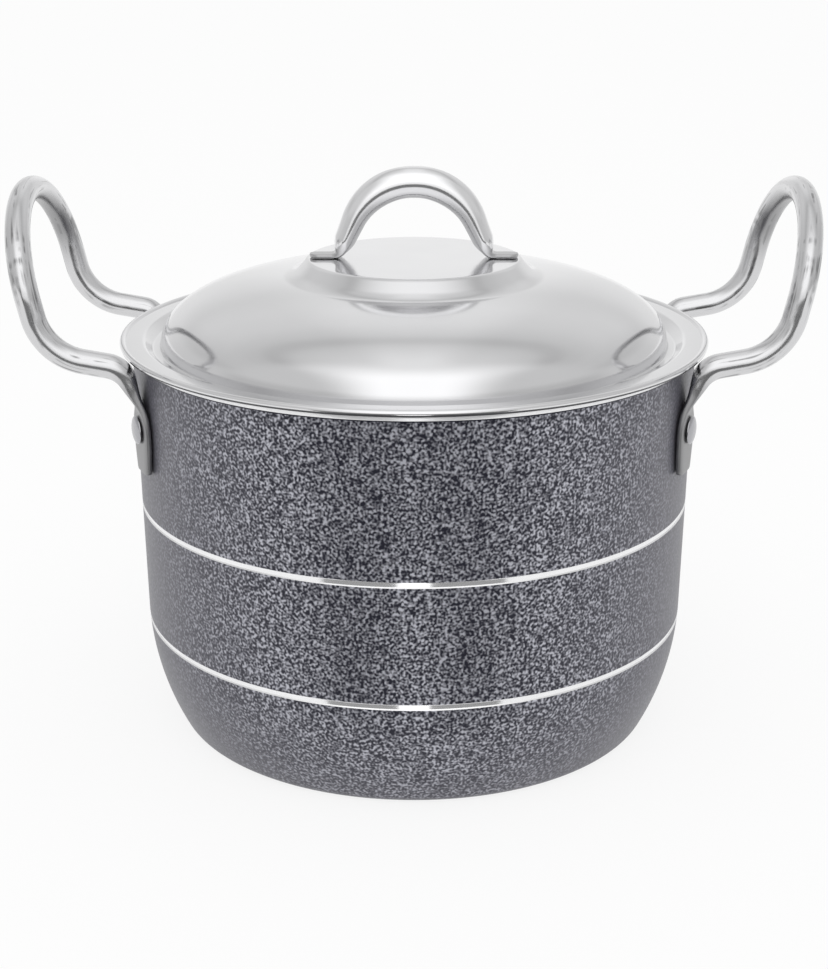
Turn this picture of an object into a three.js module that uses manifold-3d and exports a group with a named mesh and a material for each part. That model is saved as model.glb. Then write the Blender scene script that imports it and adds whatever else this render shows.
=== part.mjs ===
// A handi: a spun aluminium pot with two riveted loop handles and a loose domed lid.
// Millimetres, +Z up, origin at the middle of the flat base. The handles stand on -X and +X.

import * as THREE from 'three';
import { mergeVertices } from 'three/addons/utils/BufferGeometryUtils.js';
import Module from 'manifold-3d';

// Pot body: a straight wall that narrows slightly downwards, a long knee and a flat base
const POT_HEIGHT = 143;
const RIM_RADIUS = 101;
const WALL_TAPER = 0.018;
const WALL_THICKNESS = 2.6;
const KNEE_HEIGHT = 45;
const KNEE_RADIUS = 95;
const BASE_CORNER_RADIUS = 6;
const LIP_HEIGHT = 2.6;
const LIP_PROUD = 0.5;
const LIP_EDGE = 0.4;

// Bare rings turned into the painted wall
const LOWER_RING_HEIGHT = 41.5;
const UPPER_RING_HEIGHT = 85;
const RING_WIDTH = 2.3;
const RING_DEPTH = 0.4;

// Lid: one pressed sheet with a hemmed flange, a channel inside the pot mouth, a dome and a boss
const LID_SHEET = 1;
const FLANGE_OVERHANG = 4.5;
const HEM_RADIUS = 1.2;
const CHANNEL_DEPTH = 3;
const CHANNEL_SLOPE = 3;
const CHANNEL_WIDTH = 6.5;
const DOME_RISE = 26;
const DOME_FULLNESS = 2.5;
const BOSS_RADIUS = 43.5;
const BOSS_HEIGHT = 5.8;
const BOSS_SHOULDER = 5.5;

// Side handles: a round rod bent into a leaning loop, with flattened ends against the wall
const ROD_DIAMETER = 8.6;
const STRAP_THICKNESS = 3.2;
const STRAP_WIDTH = 15.5;
const STRAP_END_WIDTH = 8;
const STRAP_DROP = 39;
const STRAP_ANGLE = 23.5;
const STRAP_MARGIN = 2.5;
const NECK_LENGTH = 17.5;
const FLARE_LENGTH = 19;
const ELBOW_DROP = 1.9;
const ARM_RISE = 4.6;
const LOOP_HALF_WIDTH = 43;
const LOOP_REACH = 24.6;
const LOOP_LEAN = 10.7;
const LOOP_HEIGHT = 48.8;
const LOOP_SPRING = 0.38;
const STRAP_BEND_RADIUS = 12;
const ELBOW_RADIUS = 8;
const LOOP_FOOT_RADIUS = 20;

// Lid handle: a tube bent into an arch, pressed flat at both feet
const ARCH_TUBE = 11.2;
const ARCH_HEIGHT = 32.4;
const ARCH_SPAN = 51.5;
const ARCH_LEAN = 22;
const ARCH_CROWN_RADIUS = 23;
const ARCH_FOOT_THICKNESS = 5.8;
const ARCH_FOOT_WIDTH = 12;
const TAB_THICKNESS = 1.8;
const TAB_WIDTH = 11;
const TAB_MARGIN = 0.75;
const TAB_BEND_RADIUS = 3;
const TAB_FLARE = 9;

// Rivets: one through each flattened rod end and the pot wall
const RIVET_RISE = 15.5;
const RIVET_SHANK = 5;
const RIVET_HEAD = 10;
const RIVET_HEAD_HEIGHT = 1.7;
const RIVET_TAIL = 9;
const RIVET_TAIL_HEIGHT = 1.6;

// Clearances between pieces
const SEAT_GAP = 0.3;
const RIVET_GAP = 0.3;
const LID_PLAY = 1;
const ELBOW_CLEARANCE = 2.6;

// Facets
const ROUND_STEPS = 56;
const KNEE_STEPS = 7;
const CORNER_STEPS = 4;
const DOME_STEPS = 10;
const HEM_STEPS = 5;
const RIVET_STEPS = 16;
const HEAD_STEPS = 4;
const ROD_SIDES = 12;
const HANDLE_HALF_RINGS = 36;
const ARCH_HALF_RINGS = 20;
const MERGE_DISTANCE = 1e-4;

const wasm = await Module();
wasm.setup();

// Closed solid of a geometry, with its shared corners merged and its collapsed triangles left out
function solidOf(geometry) {
  geometry.deleteAttribute('normal');
  geometry.deleteAttribute('uv');
  const merged = mergeVertices(geometry, MERGE_DISTANCE);
  const corners = merged.index.array;
  const triangles = [];
  for (let i = 0; i < corners.length; i += 3) {
    const [a, b, c] = corners.slice(i, i + 3);
    if (a !== b && b !== c && c !== a) triangles.push(a, b, c);
  }
  return new wasm.Manifold(new wasm.Mesh({
    numProp: 3,
    vertProperties: new Float32Array(merged.attributes.position.array),
    triVerts: new Uint32Array(triangles),
  }));
}

function geometryOf(solid) {
  const mesh = solid.getMesh();
  const geometry = new THREE.BufferGeometry();
  geometry.setAttribute('position', new THREE.BufferAttribute(mesh.vertProperties, 3));
  geometry.setIndex(new THREE.BufferAttribute(mesh.triVerts, 1));
  geometry.computeVertexNormals();
  return geometry;
}

// Solid of revolution about Z from points (radius, height) that go clockwise round its section
function turned(points, steps) {
  return solidOf(new THREE.LatheGeometry([...points].reverse(), steps).rotateX(Math.PI / 2));
}

// Points of an arc in the (radius, height) plane, angles measured from the outward direction
function arc(centre, radius, from, to, steps) {
  return Array.from({ length: steps + 1 }, (_, i) => {
    const angle = from + ((to - from) * i) / steps;
    return new THREE.Vector2(radius, 0).rotateAround(new THREE.Vector2(), angle).add(centre);
  });
}

// Pot wall: the knee arc meets the wall and the corner arc without a crease
const taperAngle = Math.atan(WALL_TAPER);
const kneeTopRadius = RIM_RADIUS - WALL_TAPER * (POT_HEIGHT - KNEE_HEIGHT);
const kneeCentre = new THREE.Vector2(
  kneeTopRadius - KNEE_RADIUS * Math.cos(taperAngle),
  KNEE_HEIGHT + KNEE_RADIUS * Math.sin(taperAngle),
);
const kneeAngle = Math.asin((kneeCentre.y - BASE_CORNER_RADIUS) / (KNEE_RADIUS - BASE_CORNER_RADIUS));
const cornerCentre = new THREE.Vector2(KNEE_RADIUS - BASE_CORNER_RADIUS, 0)
  .rotateAround(new THREE.Vector2(), -kneeAngle)
  .add(kneeCentre);

function outerRadius(height) {
  if (height >= KNEE_HEIGHT) return RIM_RADIUS - WALL_TAPER * (POT_HEIGHT - height);
  return kneeCentre.x + Math.sqrt(KNEE_RADIUS ** 2 - (kneeCentre.y - height) ** 2);
}

const mouthRadius = RIM_RADIUS - WALL_THICKNESS;

function potProfile() {
  const rings = [LOWER_RING_HEIGHT, UPPER_RING_HEIGHT];
  const outsideRings = (point) => rings.every((ring) => Math.abs(point.y - ring) > RING_WIDTH / 2);
  const ringEdges = rings.flatMap((ring) => [
    { height: ring + RING_WIDTH / 2, insets: [0, RING_DEPTH] },
    { height: ring - RING_WIDTH / 2, insets: [RING_DEPTH, 0] },
  ]);
  const kneeRows = arc(kneeCentre, KNEE_RADIUS, -taperAngle, -kneeAngle, KNEE_STEPS)
    .filter(outsideRings)
    .map((point) => ({ height: point.y, insets: [0] }));
  const wall = [...ringEdges, ...kneeRows]
    .sort((a, b) => b.height - a.height)
    .flatMap(({ height, insets }) => insets.map(
      (inset) => new THREE.Vector2(outerRadius(height) - inset, height),
    ));
  const lipBottom = POT_HEIGHT - LIP_HEIGHT;
  const lipRadius = RIM_RADIUS + LIP_PROUD;
  const innerKnee = KNEE_RADIUS - WALL_THICKNESS;
  const innerCorner = BASE_CORNER_RADIUS - WALL_THICKNESS;
  return [
    new THREE.Vector2(0, WALL_THICKNESS),
    ...arc(cornerCentre, innerCorner, -Math.PI / 2, -kneeAngle, CORNER_STEPS),
    ...arc(kneeCentre, innerKnee, -kneeAngle, -taperAngle, KNEE_STEPS).slice(1),
    new THREE.Vector2(mouthRadius, POT_HEIGHT - LIP_EDGE),
    new THREE.Vector2(mouthRadius + LIP_EDGE, POT_HEIGHT),
    new THREE.Vector2(lipRadius - LIP_EDGE, POT_HEIGHT),
    new THREE.Vector2(lipRadius, POT_HEIGHT - LIP_EDGE),
    new THREE.Vector2(lipRadius, lipBottom),
    new THREE.Vector2(outerRadius(lipBottom), lipBottom),
    ...wall,
    ...arc(cornerCentre, BASE_CORNER_RADIUS, -kneeAngle, -Math.PI / 2, CORNER_STEPS).slice(1),
    new THREE.Vector2(0, 0),
  ];
}

// Lid: the middle line of the sheet, from the axis out to the hem
const flangeHeight = POT_HEIGHT + SEAT_GAP + LID_SHEET / 2;
const channelTopRadius = mouthRadius - LID_PLAY - LID_SHEET / 2;
const channelHeight = flangeHeight - CHANNEL_DEPTH;
const domeFootRadius = channelTopRadius - CHANNEL_WIDTH;
const flangeRadius = RIM_RADIUS + FLANGE_OVERHANG;
const bossTopRadius = BOSS_RADIUS - BOSS_SHOULDER;

// Height of the dome over the channel: a superellipse, steep at the foot and nearly flat at the boss
function domeHeight(radius) {
  const share = 1 - (radius / domeFootRadius) ** DOME_FULLNESS;
  return channelHeight + DOME_RISE * Math.max(share, 0) ** (1 / DOME_FULLNESS);
}

const bossHeight = domeHeight(BOSS_RADIUS) + BOSS_HEIGHT;
const bossTop = bossHeight + LID_SHEET / 2;

function lidMiddleLine() {
  const dome = Array.from({ length: DOME_STEPS + 1 }, (_, i) => {
    const share = Math.sin((Math.PI / 2) * (i / DOME_STEPS));
    const radius = THREE.MathUtils.lerp(BOSS_RADIUS, domeFootRadius, share);
    return new THREE.Vector2(radius, domeHeight(radius));
  });
  return [
    new THREE.Vector2(0, bossHeight),
    new THREE.Vector2(bossTopRadius, bossHeight),
    ...dome,
    new THREE.Vector2(channelTopRadius - CHANNEL_SLOPE, channelHeight),
    new THREE.Vector2(channelTopRadius, flangeHeight),
    new THREE.Vector2(flangeRadius - 2 * HEM_RADIUS, flangeHeight),
  ];
}

// A line moved sideways by a distance, keeping its thickness at every bend
function offsetLine(line, distance) {
  const runs = line.slice(1).map((point, i) => point.clone().sub(line[i]).normalize());
  return line.map((point, i) => {
    const into = runs[Math.max(i - 1, 0)];
    const out = runs[Math.min(i, runs.length - 1)];
    const along = into.clone().add(out).normalize();
    const normal = new THREE.Vector2(-along.y, along.x);
    return point.clone().addScaledVector(normal, distance / along.dot(into));
  });
}

function lidProfile() {
  const line = lidMiddleLine();
  const upper = offsetLine(line, LID_SHEET / 2);
  const lower = offsetLine(line, -LID_SHEET / 2);
  const hemCentre = new THREE.Vector2(flangeRadius - HEM_RADIUS, flangeHeight);
  const hemStart = Math.PI - Math.asin(LID_SHEET / 2 / HEM_RADIUS);
  return [...upper, ...arc(hemCentre, HEM_RADIUS, hemStart, -hemStart, HEM_STEPS), ...lower.reverse()];
}

// Length of a cubic curve's end pulls that makes it follow an arc, for a radius of one
function arcPull(turn) {
  return (4 / 3) * Math.tan(turn / 4);
}

// A path of straight runs with rounded corners, each bend kept within the runs beside it
function roundedPath(points, radii) {
  const runs = points.slice(1).map((point, i) => point.clone().sub(points[i]));
  const turns = radii.map((_, i) => runs[i].angleTo(runs[i + 1]));
  const reaches = radii.map((radius, i) => radius * Math.tan(turns[i] / 2));
  runs.forEach((run, i) => {
    const wanted = (reaches[i - 1] ?? 0) + (reaches[i] ?? 0);
    const fit = Math.min(1, run.length() / wanted);
    if (i > 0) reaches[i - 1] *= fit;
    if (i < radii.length) reaches[i] *= fit;
  });
  const path = new THREE.CurvePath();
  let from = points[0];
  radii.forEach((_, i) => {
    const corner = points[i + 1];
    const start = corner.clone().addScaledVector(runs[i].clone().normalize(), -reaches[i]);
    const end = corner.clone().addScaledVector(runs[i + 1].clone().normalize(), reaches[i]);
    const pull = arcPull(turns[i]) / Math.tan(turns[i] / 2);
    if (from.distanceTo(start) > MERGE_DISTANCE) path.add(new THREE.LineCurve3(from, start));
    path.add(new THREE.CubicBezierCurve3(
      start,
      start.clone().lerp(corner, pull),
      end.clone().lerp(corner, pull),
      end,
    ));
    from = end;
  });
  const last = points[points.length - 1];
  if (from.distanceTo(last) > MERGE_DISTANCE) path.add(new THREE.LineCurve3(from, last));
  return path;
}

// Bar along a path and its mirror image. The section gives, for the distance from the end, the
// thickness along the carried normal, the width across it and how square its corners are.
function sweptBar(halfPath, normal, section, halfRings, mirror) {
  const length = halfPath.getLength();
  const frames = [];
  const turn = new THREE.Quaternion();
  let across = normal.clone();
  for (let i = 0; i <= halfRings; i += 1) {
    const tangent = halfPath.getTangentAt(i / halfRings);
    if (i > 0) turn.setFromUnitVectors(frames[i - 1].tangent, tangent);
    across = across.clone().applyQuaternion(turn);
    across.addScaledVector(tangent, -across.dot(tangent)).normalize();
    frames.push({
      tangent,
      across,
      point: halfPath.getPointAt(i / halfRings),
      side: tangent.clone().cross(across),
      ...section((length * i) / halfRings),
    });
  }
  const geometry = new THREE.CylinderGeometry(1, 1, 1, ROD_SIDES, 2 * halfRings);
  const position = geometry.attributes.position;
  const corner = new THREE.Vector3();
  for (let i = 0; i < position.count; i += 1) {
    corner.fromBufferAttribute(position, i);
    const ring = Math.round((0.5 - corner.y) * 2 * halfRings);
    const frame = frames[Math.min(ring, 2 * halfRings - ring)];
    const power = frame.squareness;
    const round = Math.abs(corner.x) ** power + Math.abs(corner.z) ** power;
    const scale = round > 0 ? round ** (-1 / power) / 2 : 0;
    const placed = frame.point.clone()
      .addScaledVector(frame.across, corner.x * scale * frame.thickness)
      .addScaledVector(frame.side, corner.z * scale * frame.width);
    if (ring > halfRings) placed.multiply(mirror);
    position.setXYZ(i, placed.x, placed.y, placed.z);
  }
  return solidOf(geometry);
}

const ROUND_SECTION = 2;
const FLAT_SECTION = 5;

// Side handle on the +X side, mirrored about the XZ plane
const strapAngle = THREE.MathUtils.degToRad(STRAP_ANGLE);
const strapDirection = new THREE.Vector3(Math.cos(strapAngle), -Math.sin(strapAngle), 0);
const strapBottom = POT_HEIGHT - STRAP_DROP;
const strapLength = RIVET_RISE + RIVET_HEAD / 2 + STRAP_MARGIN;
const rivetHeight = strapBottom + RIVET_RISE;
const elbowRadius = RIM_RADIUS + LIP_PROUD + ROD_DIAMETER / 2 + ELBOW_CLEARANCE;
const elbowHeight = flangeHeight - ELBOW_DROP;

function strapPoint(height) {
  const reach = outerRadius(height) + SEAT_GAP + STRAP_THICKNESS / 2;
  return strapDirection.clone().multiplyScalar(reach).setZ(height);
}

// The strap is a leaf: widest at the rivet, and narrowing from there to its end and to the rod
function rodSection(distance) {
  const flat = 1 - THREE.MathUtils.smoothstep(distance, strapLength, strapLength + FLARE_LENGTH);
  const spread = 1 - THREE.MathUtils.smoothstep(distance, RIVET_RISE, RIVET_RISE + NECK_LENGTH);
  const taper = Math.sin((Math.PI / 2) * Math.min(distance / RIVET_RISE, 1));
  const leafWidth = THREE.MathUtils.lerp(STRAP_END_WIDTH, STRAP_WIDTH, taper);
  return {
    thickness: THREE.MathUtils.lerp(ROD_DIAMETER, STRAP_THICKNESS, flat),
    width: THREE.MathUtils.lerp(ROD_DIAMETER, leafWidth, spread),
    squareness: THREE.MathUtils.lerp(ROUND_SECTION, FLAT_SECTION, flat),
  };
}

// The legs lean outwards and the loop closes over the grip in half an ellipse
function sideHandle() {
  const foot = new THREE.Vector3(RIM_RADIUS + LOOP_REACH, -LOOP_HALF_WIDTH, elbowHeight + ARM_RISE);
  const leg = new THREE.Vector3(LOOP_LEAN, 0, LOOP_HEIGHT);
  const spring = foot.clone().addScaledVector(leg, LOOP_SPRING);
  const top = foot.clone().add(leg);
  const grip = top.clone().setY(0);
  const pull = arcPull(Math.PI / 2);
  const path = roundedPath([
    strapPoint(strapBottom),
    strapPoint(strapBottom + strapLength),
    strapDirection.clone().multiplyScalar(elbowRadius).setZ(elbowHeight),
    foot,
    spring,
  ], [STRAP_BEND_RADIUS, ELBOW_RADIUS, LOOP_FOOT_RADIUS]);
  path.add(new THREE.CubicBezierCurve3(
    spring,
    spring.clone().lerp(top, pull),
    grip.clone().lerp(top, pull),
    grip,
  ));
  const mirror = new THREE.Vector3(1, -1, 1);
  return sweptBar(path, strapDirection, rodSection, HANDLE_HALF_RINGS, mirror);
}

// Lid handle in the XZ plane, its tabs pointing outwards to the edge of the boss
const tabLength = bossTopRadius - TAB_MARGIN - ARCH_SPAN / 2;

function archSection(distance) {
  const raised = THREE.MathUtils.smoothstep(distance, tabLength - TAB_BEND_RADIUS, tabLength + TAB_FLARE);
  const crown = THREE.MathUtils.smoothstep(distance, tabLength, tabLength + ARCH_HEIGHT);
  const legThickness = THREE.MathUtils.lerp(ARCH_FOOT_THICKNESS, ARCH_TUBE, crown);
  const legWidth = THREE.MathUtils.lerp(ARCH_FOOT_WIDTH, ARCH_TUBE, crown);
  return {
    thickness: THREE.MathUtils.lerp(TAB_THICKNESS, legThickness, raised),
    width: THREE.MathUtils.lerp(TAB_WIDTH, legWidth, raised),
    squareness: THREE.MathUtils.lerp(FLAT_SECTION, ROUND_SECTION, raised),
  };
}

function lidArch() {
  const half = ARCH_SPAN / 2;
  const tabHeight = bossTop + SEAT_GAP + TAB_THICKNESS / 2;
  const crownHeight = bossTop + ARCH_HEIGHT - ARCH_TUBE / 2;
  const lean = Math.tan(THREE.MathUtils.degToRad(ARCH_LEAN));
  const path = roundedPath([
    new THREE.Vector3(-half - tabLength, 0, tabHeight),
    new THREE.Vector3(-half, 0, tabHeight),
    new THREE.Vector3(-half + lean * (crownHeight - tabHeight), 0, crownHeight),
    new THREE.Vector3(0, 0, crownHeight),
  ], [TAB_BEND_RADIUS, ARCH_CROWN_RADIUS]);
  const mirror = new THREE.Vector3(-1, 1, 1);
  return sweptBar(path, new THREE.Vector3(0, 0, 1), archSection, ARCH_HALF_RINGS, mirror);
}

// Rivet along +X, height zero on its axis at the outside of the pot wall
function rivet() {
  const seat = SEAT_GAP + STRAP_THICKNESS + RIVET_GAP;
  const tail = -WALL_THICKNESS - RIVET_GAP;
  const dome = Array.from({ length: HEAD_STEPS + 1 }, (_, i) => {
    const angle = (Math.PI / 2) * (1 - i / HEAD_STEPS);
    return new THREE.Vector2(
      (RIVET_HEAD / 2) * Math.cos(angle),
      seat + RIVET_HEAD_HEIGHT * Math.sin(angle),
    );
  });
  return turned([
    ...dome,
    new THREE.Vector2(RIVET_SHANK / 2, seat),
    new THREE.Vector2(RIVET_SHANK / 2, tail),
    new THREE.Vector2(RIVET_TAIL / 2, tail),
    new THREE.Vector2(RIVET_TAIL / 2, tail - RIVET_TAIL_HEIGHT),
    new THREE.Vector2(0, tail - RIVET_TAIL_HEIGHT),
  ], RIVET_STEPS).rotate([0, 90, 0]);
}

const rivetRadius = outerRadius(rivetHeight);

// Clearance hole for one rivet, through the strap and the wall
function rivetHole(degrees) {
  const reach = 2 * (WALL_THICKNESS + STRAP_THICKNESS + RIVET_HEAD);
  const bore = new THREE.CylinderGeometry(
    RIVET_SHANK / 2 + RIVET_GAP,
    RIVET_SHANK / 2 + RIVET_GAP,
    reach,
    RIVET_STEPS,
  );
  bore.rotateZ(Math.PI / 2).translate(rivetRadius, 0, rivetHeight);
  return solidOf(bore.rotateZ(THREE.MathUtils.degToRad(degrees)));
}

const PAINT = { color: 0x53545f, roughness: 0.55, metalness: 0.35 };
const POLISHED_STEEL = { color: 0xd5d5d8, roughness: 0.15, metalness: 1 };
const RIVET_ALUMINIUM = { color: 0xb9babd, roughness: 0.35, metalness: 1 };

function piece(name, solid, finish) {
  const mesh = new THREE.Mesh(geometryOf(solid), new THREE.MeshStandardMaterial(finish));
  mesh.name = name;
  return mesh;
}

// Directions of the four rivets round the pot, in degrees from +X
const rivetDirections = {
  rivet_right_front: -STRAP_ANGLE,
  rivet_right_rear: STRAP_ANGLE,
  rivet_left_front: STRAP_ANGLE - 180,
  rivet_left_rear: 180 - STRAP_ANGLE,
};

function drilled(solid, directions) {
  return directions.map(rivetHole).reduce((rest, hole) => rest.subtract(hole), solid);
}

const handi = new THREE.Group();
const pot = new THREE.Group();
const cover = new THREE.Group();
handi.add(pot, cover);

const shell = turned(potProfile(), ROUND_STEPS);
pot.add(piece('pot_body', drilled(shell, Object.values(rivetDirections)), PAINT));

const handle = drilled(sideHandle(), [STRAP_ANGLE, -STRAP_ANGLE]);
const leftHandle = piece('handle_left', handle, POLISHED_STEEL);
leftHandle.rotation.z = Math.PI;
pot.add(piece('handle_right', handle, POLISHED_STEEL), leftHandle);

for (const [name, degrees] of Object.entries(rivetDirections)) {
  const mesh = piece(name, rivet(), RIVET_ALUMINIUM);
  const angle = THREE.MathUtils.degToRad(degrees);
  mesh.position.set(rivetRadius * Math.cos(angle), rivetRadius * Math.sin(angle), rivetHeight);
  mesh.rotation.z = angle;
  pot.add(mesh);
}

cover.add(piece('lid', turned(lidProfile(), ROUND_STEPS), POLISHED_STEEL));
cover.add(piece('lid_handle', lidArch(), POLISHED_STEEL));

export default handi;
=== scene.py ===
"""Looks of a handi: a hammertone-painted spun pot, riveted rod handles and a polished steel lid.

Every size is in metres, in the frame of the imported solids: +Z up, the base on Z = 0, the handles
on -X and +X, and the side that the photograph shows towards -Y.
"""

import logging
import math
from bisect import bisect_right
from collections.abc import Iterable, Mapping, Sequence
from dataclasses import dataclass, field
from enum import Enum
from itertools import accumulate, pairwise

import bpy
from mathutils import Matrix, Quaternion, Vector


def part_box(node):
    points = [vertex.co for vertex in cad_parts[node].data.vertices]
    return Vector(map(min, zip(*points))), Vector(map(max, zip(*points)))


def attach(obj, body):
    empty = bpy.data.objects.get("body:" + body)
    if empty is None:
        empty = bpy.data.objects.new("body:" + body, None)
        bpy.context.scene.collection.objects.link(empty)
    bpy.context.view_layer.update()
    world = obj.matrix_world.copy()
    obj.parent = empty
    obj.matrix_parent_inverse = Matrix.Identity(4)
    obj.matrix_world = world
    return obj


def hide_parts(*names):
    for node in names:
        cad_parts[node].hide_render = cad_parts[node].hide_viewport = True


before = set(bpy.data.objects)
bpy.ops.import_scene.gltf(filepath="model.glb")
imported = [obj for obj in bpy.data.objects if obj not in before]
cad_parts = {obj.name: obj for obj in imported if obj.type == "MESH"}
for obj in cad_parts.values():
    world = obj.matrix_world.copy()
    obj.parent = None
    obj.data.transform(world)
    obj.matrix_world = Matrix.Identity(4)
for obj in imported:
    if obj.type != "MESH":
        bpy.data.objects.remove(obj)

log = logging.getLogger("handi")

MM = 0.001
FULL_TURN = 2 * math.pi
SHARP_ANGLE = math.radians(38)
NOISE_MIDDLE = 0.5

ZONE = "zone"
DULL_AND_SHADE = "worn"
STREAK = "streak"
DISTANCE = "distance"
INSET = "inset"
ACROSS = "across"
TANGENT = "tangent"

Colour = tuple[float, float, float]


class Body(Enum):
    """The bodies that pieces ride on."""

    POT = "pot"
    COVER = "cover"


class Slot(Enum):
    """The record's material slots."""

    POT_PAINT = "pot_paint"
    ROD_STEEL = "rod_steel"
    RIVET_METAL = "rivet_metal"
    LID_STEEL = "lid_steel"
    ARCH_STEEL = "arch_steel"


class Zone(Enum):
    """An area of a piece with a finish of its own, by the material input that it takes."""

    @property
    def number(self) -> int:
        """The zone's number on the piece."""
        return list(type(self)).index(self)


class PotZone(Zone):
    """Areas of the pot."""

    INSIDE = "Inside"
    LIP = "Lip"
    # A thin band of near-black paint under the lip: painted shade where the lid's overhang shades the
    # wall.
    PAINT_EDGE = "Paint Edge"
    PAINT = "Paint"
    RING = "Ring"
    BASE = "Base"


class LidZone(Zone):
    """Areas of the lid."""

    SHEET = "Sheet"
    # The hem's inward underside, darkened as painted shade for the gap between lid and rim.
    SEAM = "Seam"


class PlainZone(Zone):
    """The one area of a piece with a single finish."""

    FINISH = "Finish"


Run = tuple[Zone, list[Vector]]


@dataclass(frozen=True)
class Step:
    """A soft step: where it begins and ends, and the results before and after it."""

    low: float
    high: float
    start: float = 0.0
    end: float = 1.0


class Wire:
    """One output socket, which Python arithmetic extends with Math nodes."""

    def __init__(self, graph: "Graph", socket: bpy.types.NodeSocket) -> None:
        """Keeps the socket with the graph that it belongs to."""
        self.graph = graph
        self.socket = socket

    def __add__(self, other: "Number") -> "Wire":
        """Sum of two values."""
        return self.graph.math("ADD", self, other)

    __radd__ = __add__

    def __sub__(self, other: "Number") -> "Wire":
        """Difference of two values."""
        return self.graph.math("SUBTRACT", self, other)

    def __rsub__(self, other: "Number") -> "Wire":
        """Difference with the wire on the right."""
        return self.graph.math("SUBTRACT", other, self)

    def __mul__(self, other: "Number") -> "Wire":
        """Product of two values."""
        return self.graph.math("MULTIPLY", self, other)

    __rmul__ = __mul__

    def __truediv__(self, other: "Number") -> "Wire":
        """Quotient of two values."""
        return self.graph.math("DIVIDE", self, other)

    def __rtruediv__(self, other: "Number") -> "Wire":
        """Quotient with the wire below the line."""
        return self.graph.math("DIVIDE", other, self)

    def __pow__(self, other: "Number") -> "Wire":
        """Power of two values."""
        return self.graph.math("POWER", self, other)

    def __abs__(self) -> "Wire":
        """Size of a value without its sign."""
        return self.graph.math("ABSOLUTE", self)


Number = Wire | float
Feed = Wire | float | int | str | tuple | bpy.types.ID


class Placed:
    """A node in its graph, whose outputs are picked by their identifiers."""

    def __init__(self, graph: "Graph", node: bpy.types.Node) -> None:
        """Keeps the node with the graph that it belongs to."""
        self.graph = graph
        self.node = node

    def __getitem__(self, identifier: str) -> Wire:
        """The output with that identifier."""
        return Wire(self.graph, next(s for s in self.node.outputs if s.identifier == identifier))


class Graph:
    """A node tree with one method that makes any node in it."""

    def __init__(self, tree: bpy.types.NodeTree) -> None:
        """Keeps the tree that nodes are added to."""
        self.tree = tree

    def add(
        self,
        kind: str,
        settings: Mapping[str, object] | None = None,
        inputs: Mapping[str, Feed] | None = None,
    ) -> Placed:
        """Adds a node.

        Args:
            kind: The node's type.
            settings: Properties that are set first. The key stops holds a ramp's stops.
            inputs: Values or wires for its sockets, by identifier.

        Returns:
            The node, ready for its outputs to be picked.
        """
        node = self.tree.nodes.new(kind)
        for name, value in (settings or {}).items():
            if name == "stops":
                self._set_stops(node.color_ramp.elements, value)
            else:
                setattr(node, name, value)
        for identifier, value in (inputs or {}).items():
            socket = next(s for s in node.inputs if s.identifier == identifier)
            if isinstance(value, Wire):
                self.tree.links.new(value.socket, socket)
            else:
                socket.default_value = value
        return Placed(self, node)

    @staticmethod
    def _set_stops(elements: bpy.types.ColorRampElements, stops: Sequence[tuple[float, float]]) -> None:
        """Sets a ramp's stops.

        Args:
            elements: The ramp's stops, of which a new ramp has two.
            stops: Places along the ramp and the grey level at each, in order.
        """
        while len(elements) < len(stops):
            elements.new(1.0)
        for element, (place, level) in zip(elements, stops):
            element.position = place
            element.color = grey(level)

    def math(self, operation: str, *values: Number) -> Wire:
        """The result of a Math node's operation on values."""
        inputs = dict(zip(("Value", "Value_001", "Value_002"), values))
        return self.add("ShaderNodeMath", {"operation": operation}, inputs)["Value"]

    def vector(self, operation: str, *vectors: Feed) -> Wire:
        """The vector that a Vector Math node's operation gives."""
        inputs = dict(zip(("Vector", "Vector_001", "Vector_002"), vectors))
        return self.add("ShaderNodeVectorMath", {"operation": operation}, inputs)["Vector"]

    def scaled(self, vector: Wire, scale: Number) -> Wire:
        """A vector times a value."""
        inputs = {"Vector": vector, "Scale": scale}
        return self.add("ShaderNodeVectorMath", {"operation": "SCALE"}, inputs)["Vector"]

    def dot(self, first: Wire, second: Wire) -> Wire:
        """The dot product of two vectors."""
        inputs = {"Vector": first, "Vector_001": second}
        return self.add("ShaderNodeVectorMath", {"operation": "DOT_PRODUCT"}, inputs)["Value"]

    def combined(self, x: Number, y: Number, z: Number) -> Wire:
        """A vector of three values."""
        return self.add("ShaderNodeCombineXYZ", inputs={"X": x, "Y": y, "Z": z})["Vector"]

    def smooth(
        self, value: Wire, low: Number, high: Number, start: Number = 0.0, end: Number = 1.0
    ) -> Wire:
        """A soft step from start, where value is low, to end, where it is high."""
        inputs = {"Value": value, "From Min": low, "From Max": high, "To Min": start, "To Max": end}
        return self.add("ShaderNodeMapRange", {"interpolation_type": "SMOOTHSTEP"}, inputs)["Result"]

    def stepped(self, value: Wire, step: Step) -> Wire:
        """The result of a soft step at a value."""
        return self.smooth(value, **vars(step))

    def ramped(self, value: Wire, low: Number, high: Number) -> Wire:
        """A straight ramp from 0 where value is low to 1 where it is high."""
        inputs = {"Value": value, "From Min": low, "From Max": high}
        return self.add("ShaderNodeMapRange", {"clamp": True}, inputs)["Result"]

    def between(self, start: Number, end: Number, share: Number) -> Wire:
        """The value at a share of the way from start to end."""
        return share * (end - start) + start

    def mixed(self, share: Number, low: Feed, high: Feed) -> Wire:
        """The colour at a share of the way from low to high."""
        inputs = {"Factor_Float": share, "A_Color": low, "B_Color": high}
        return self.add("ShaderNodeMix", {"data_type": "RGBA"}, inputs)["Result_Color"]

    def noise(self, place: Wire, grain: float, detail: float = 0.0, distortion: float = 0.0) -> Wire:
        """Noise about 0.5, by the length of its lumps, its finer layers and its pull into worms."""
        inputs = {"Vector": place, "Scale": 1 / grain, "Detail": detail, "Distortion": distortion}
        return self.add("ShaderNodeTexNoise", {"noise_dimensions": "3D"}, inputs)["Fac"]


def rgba(colour: Colour) -> tuple[float, float, float, float]:
    """An opaque colour for a node's socket."""
    return (*colour, 1.0)


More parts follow.
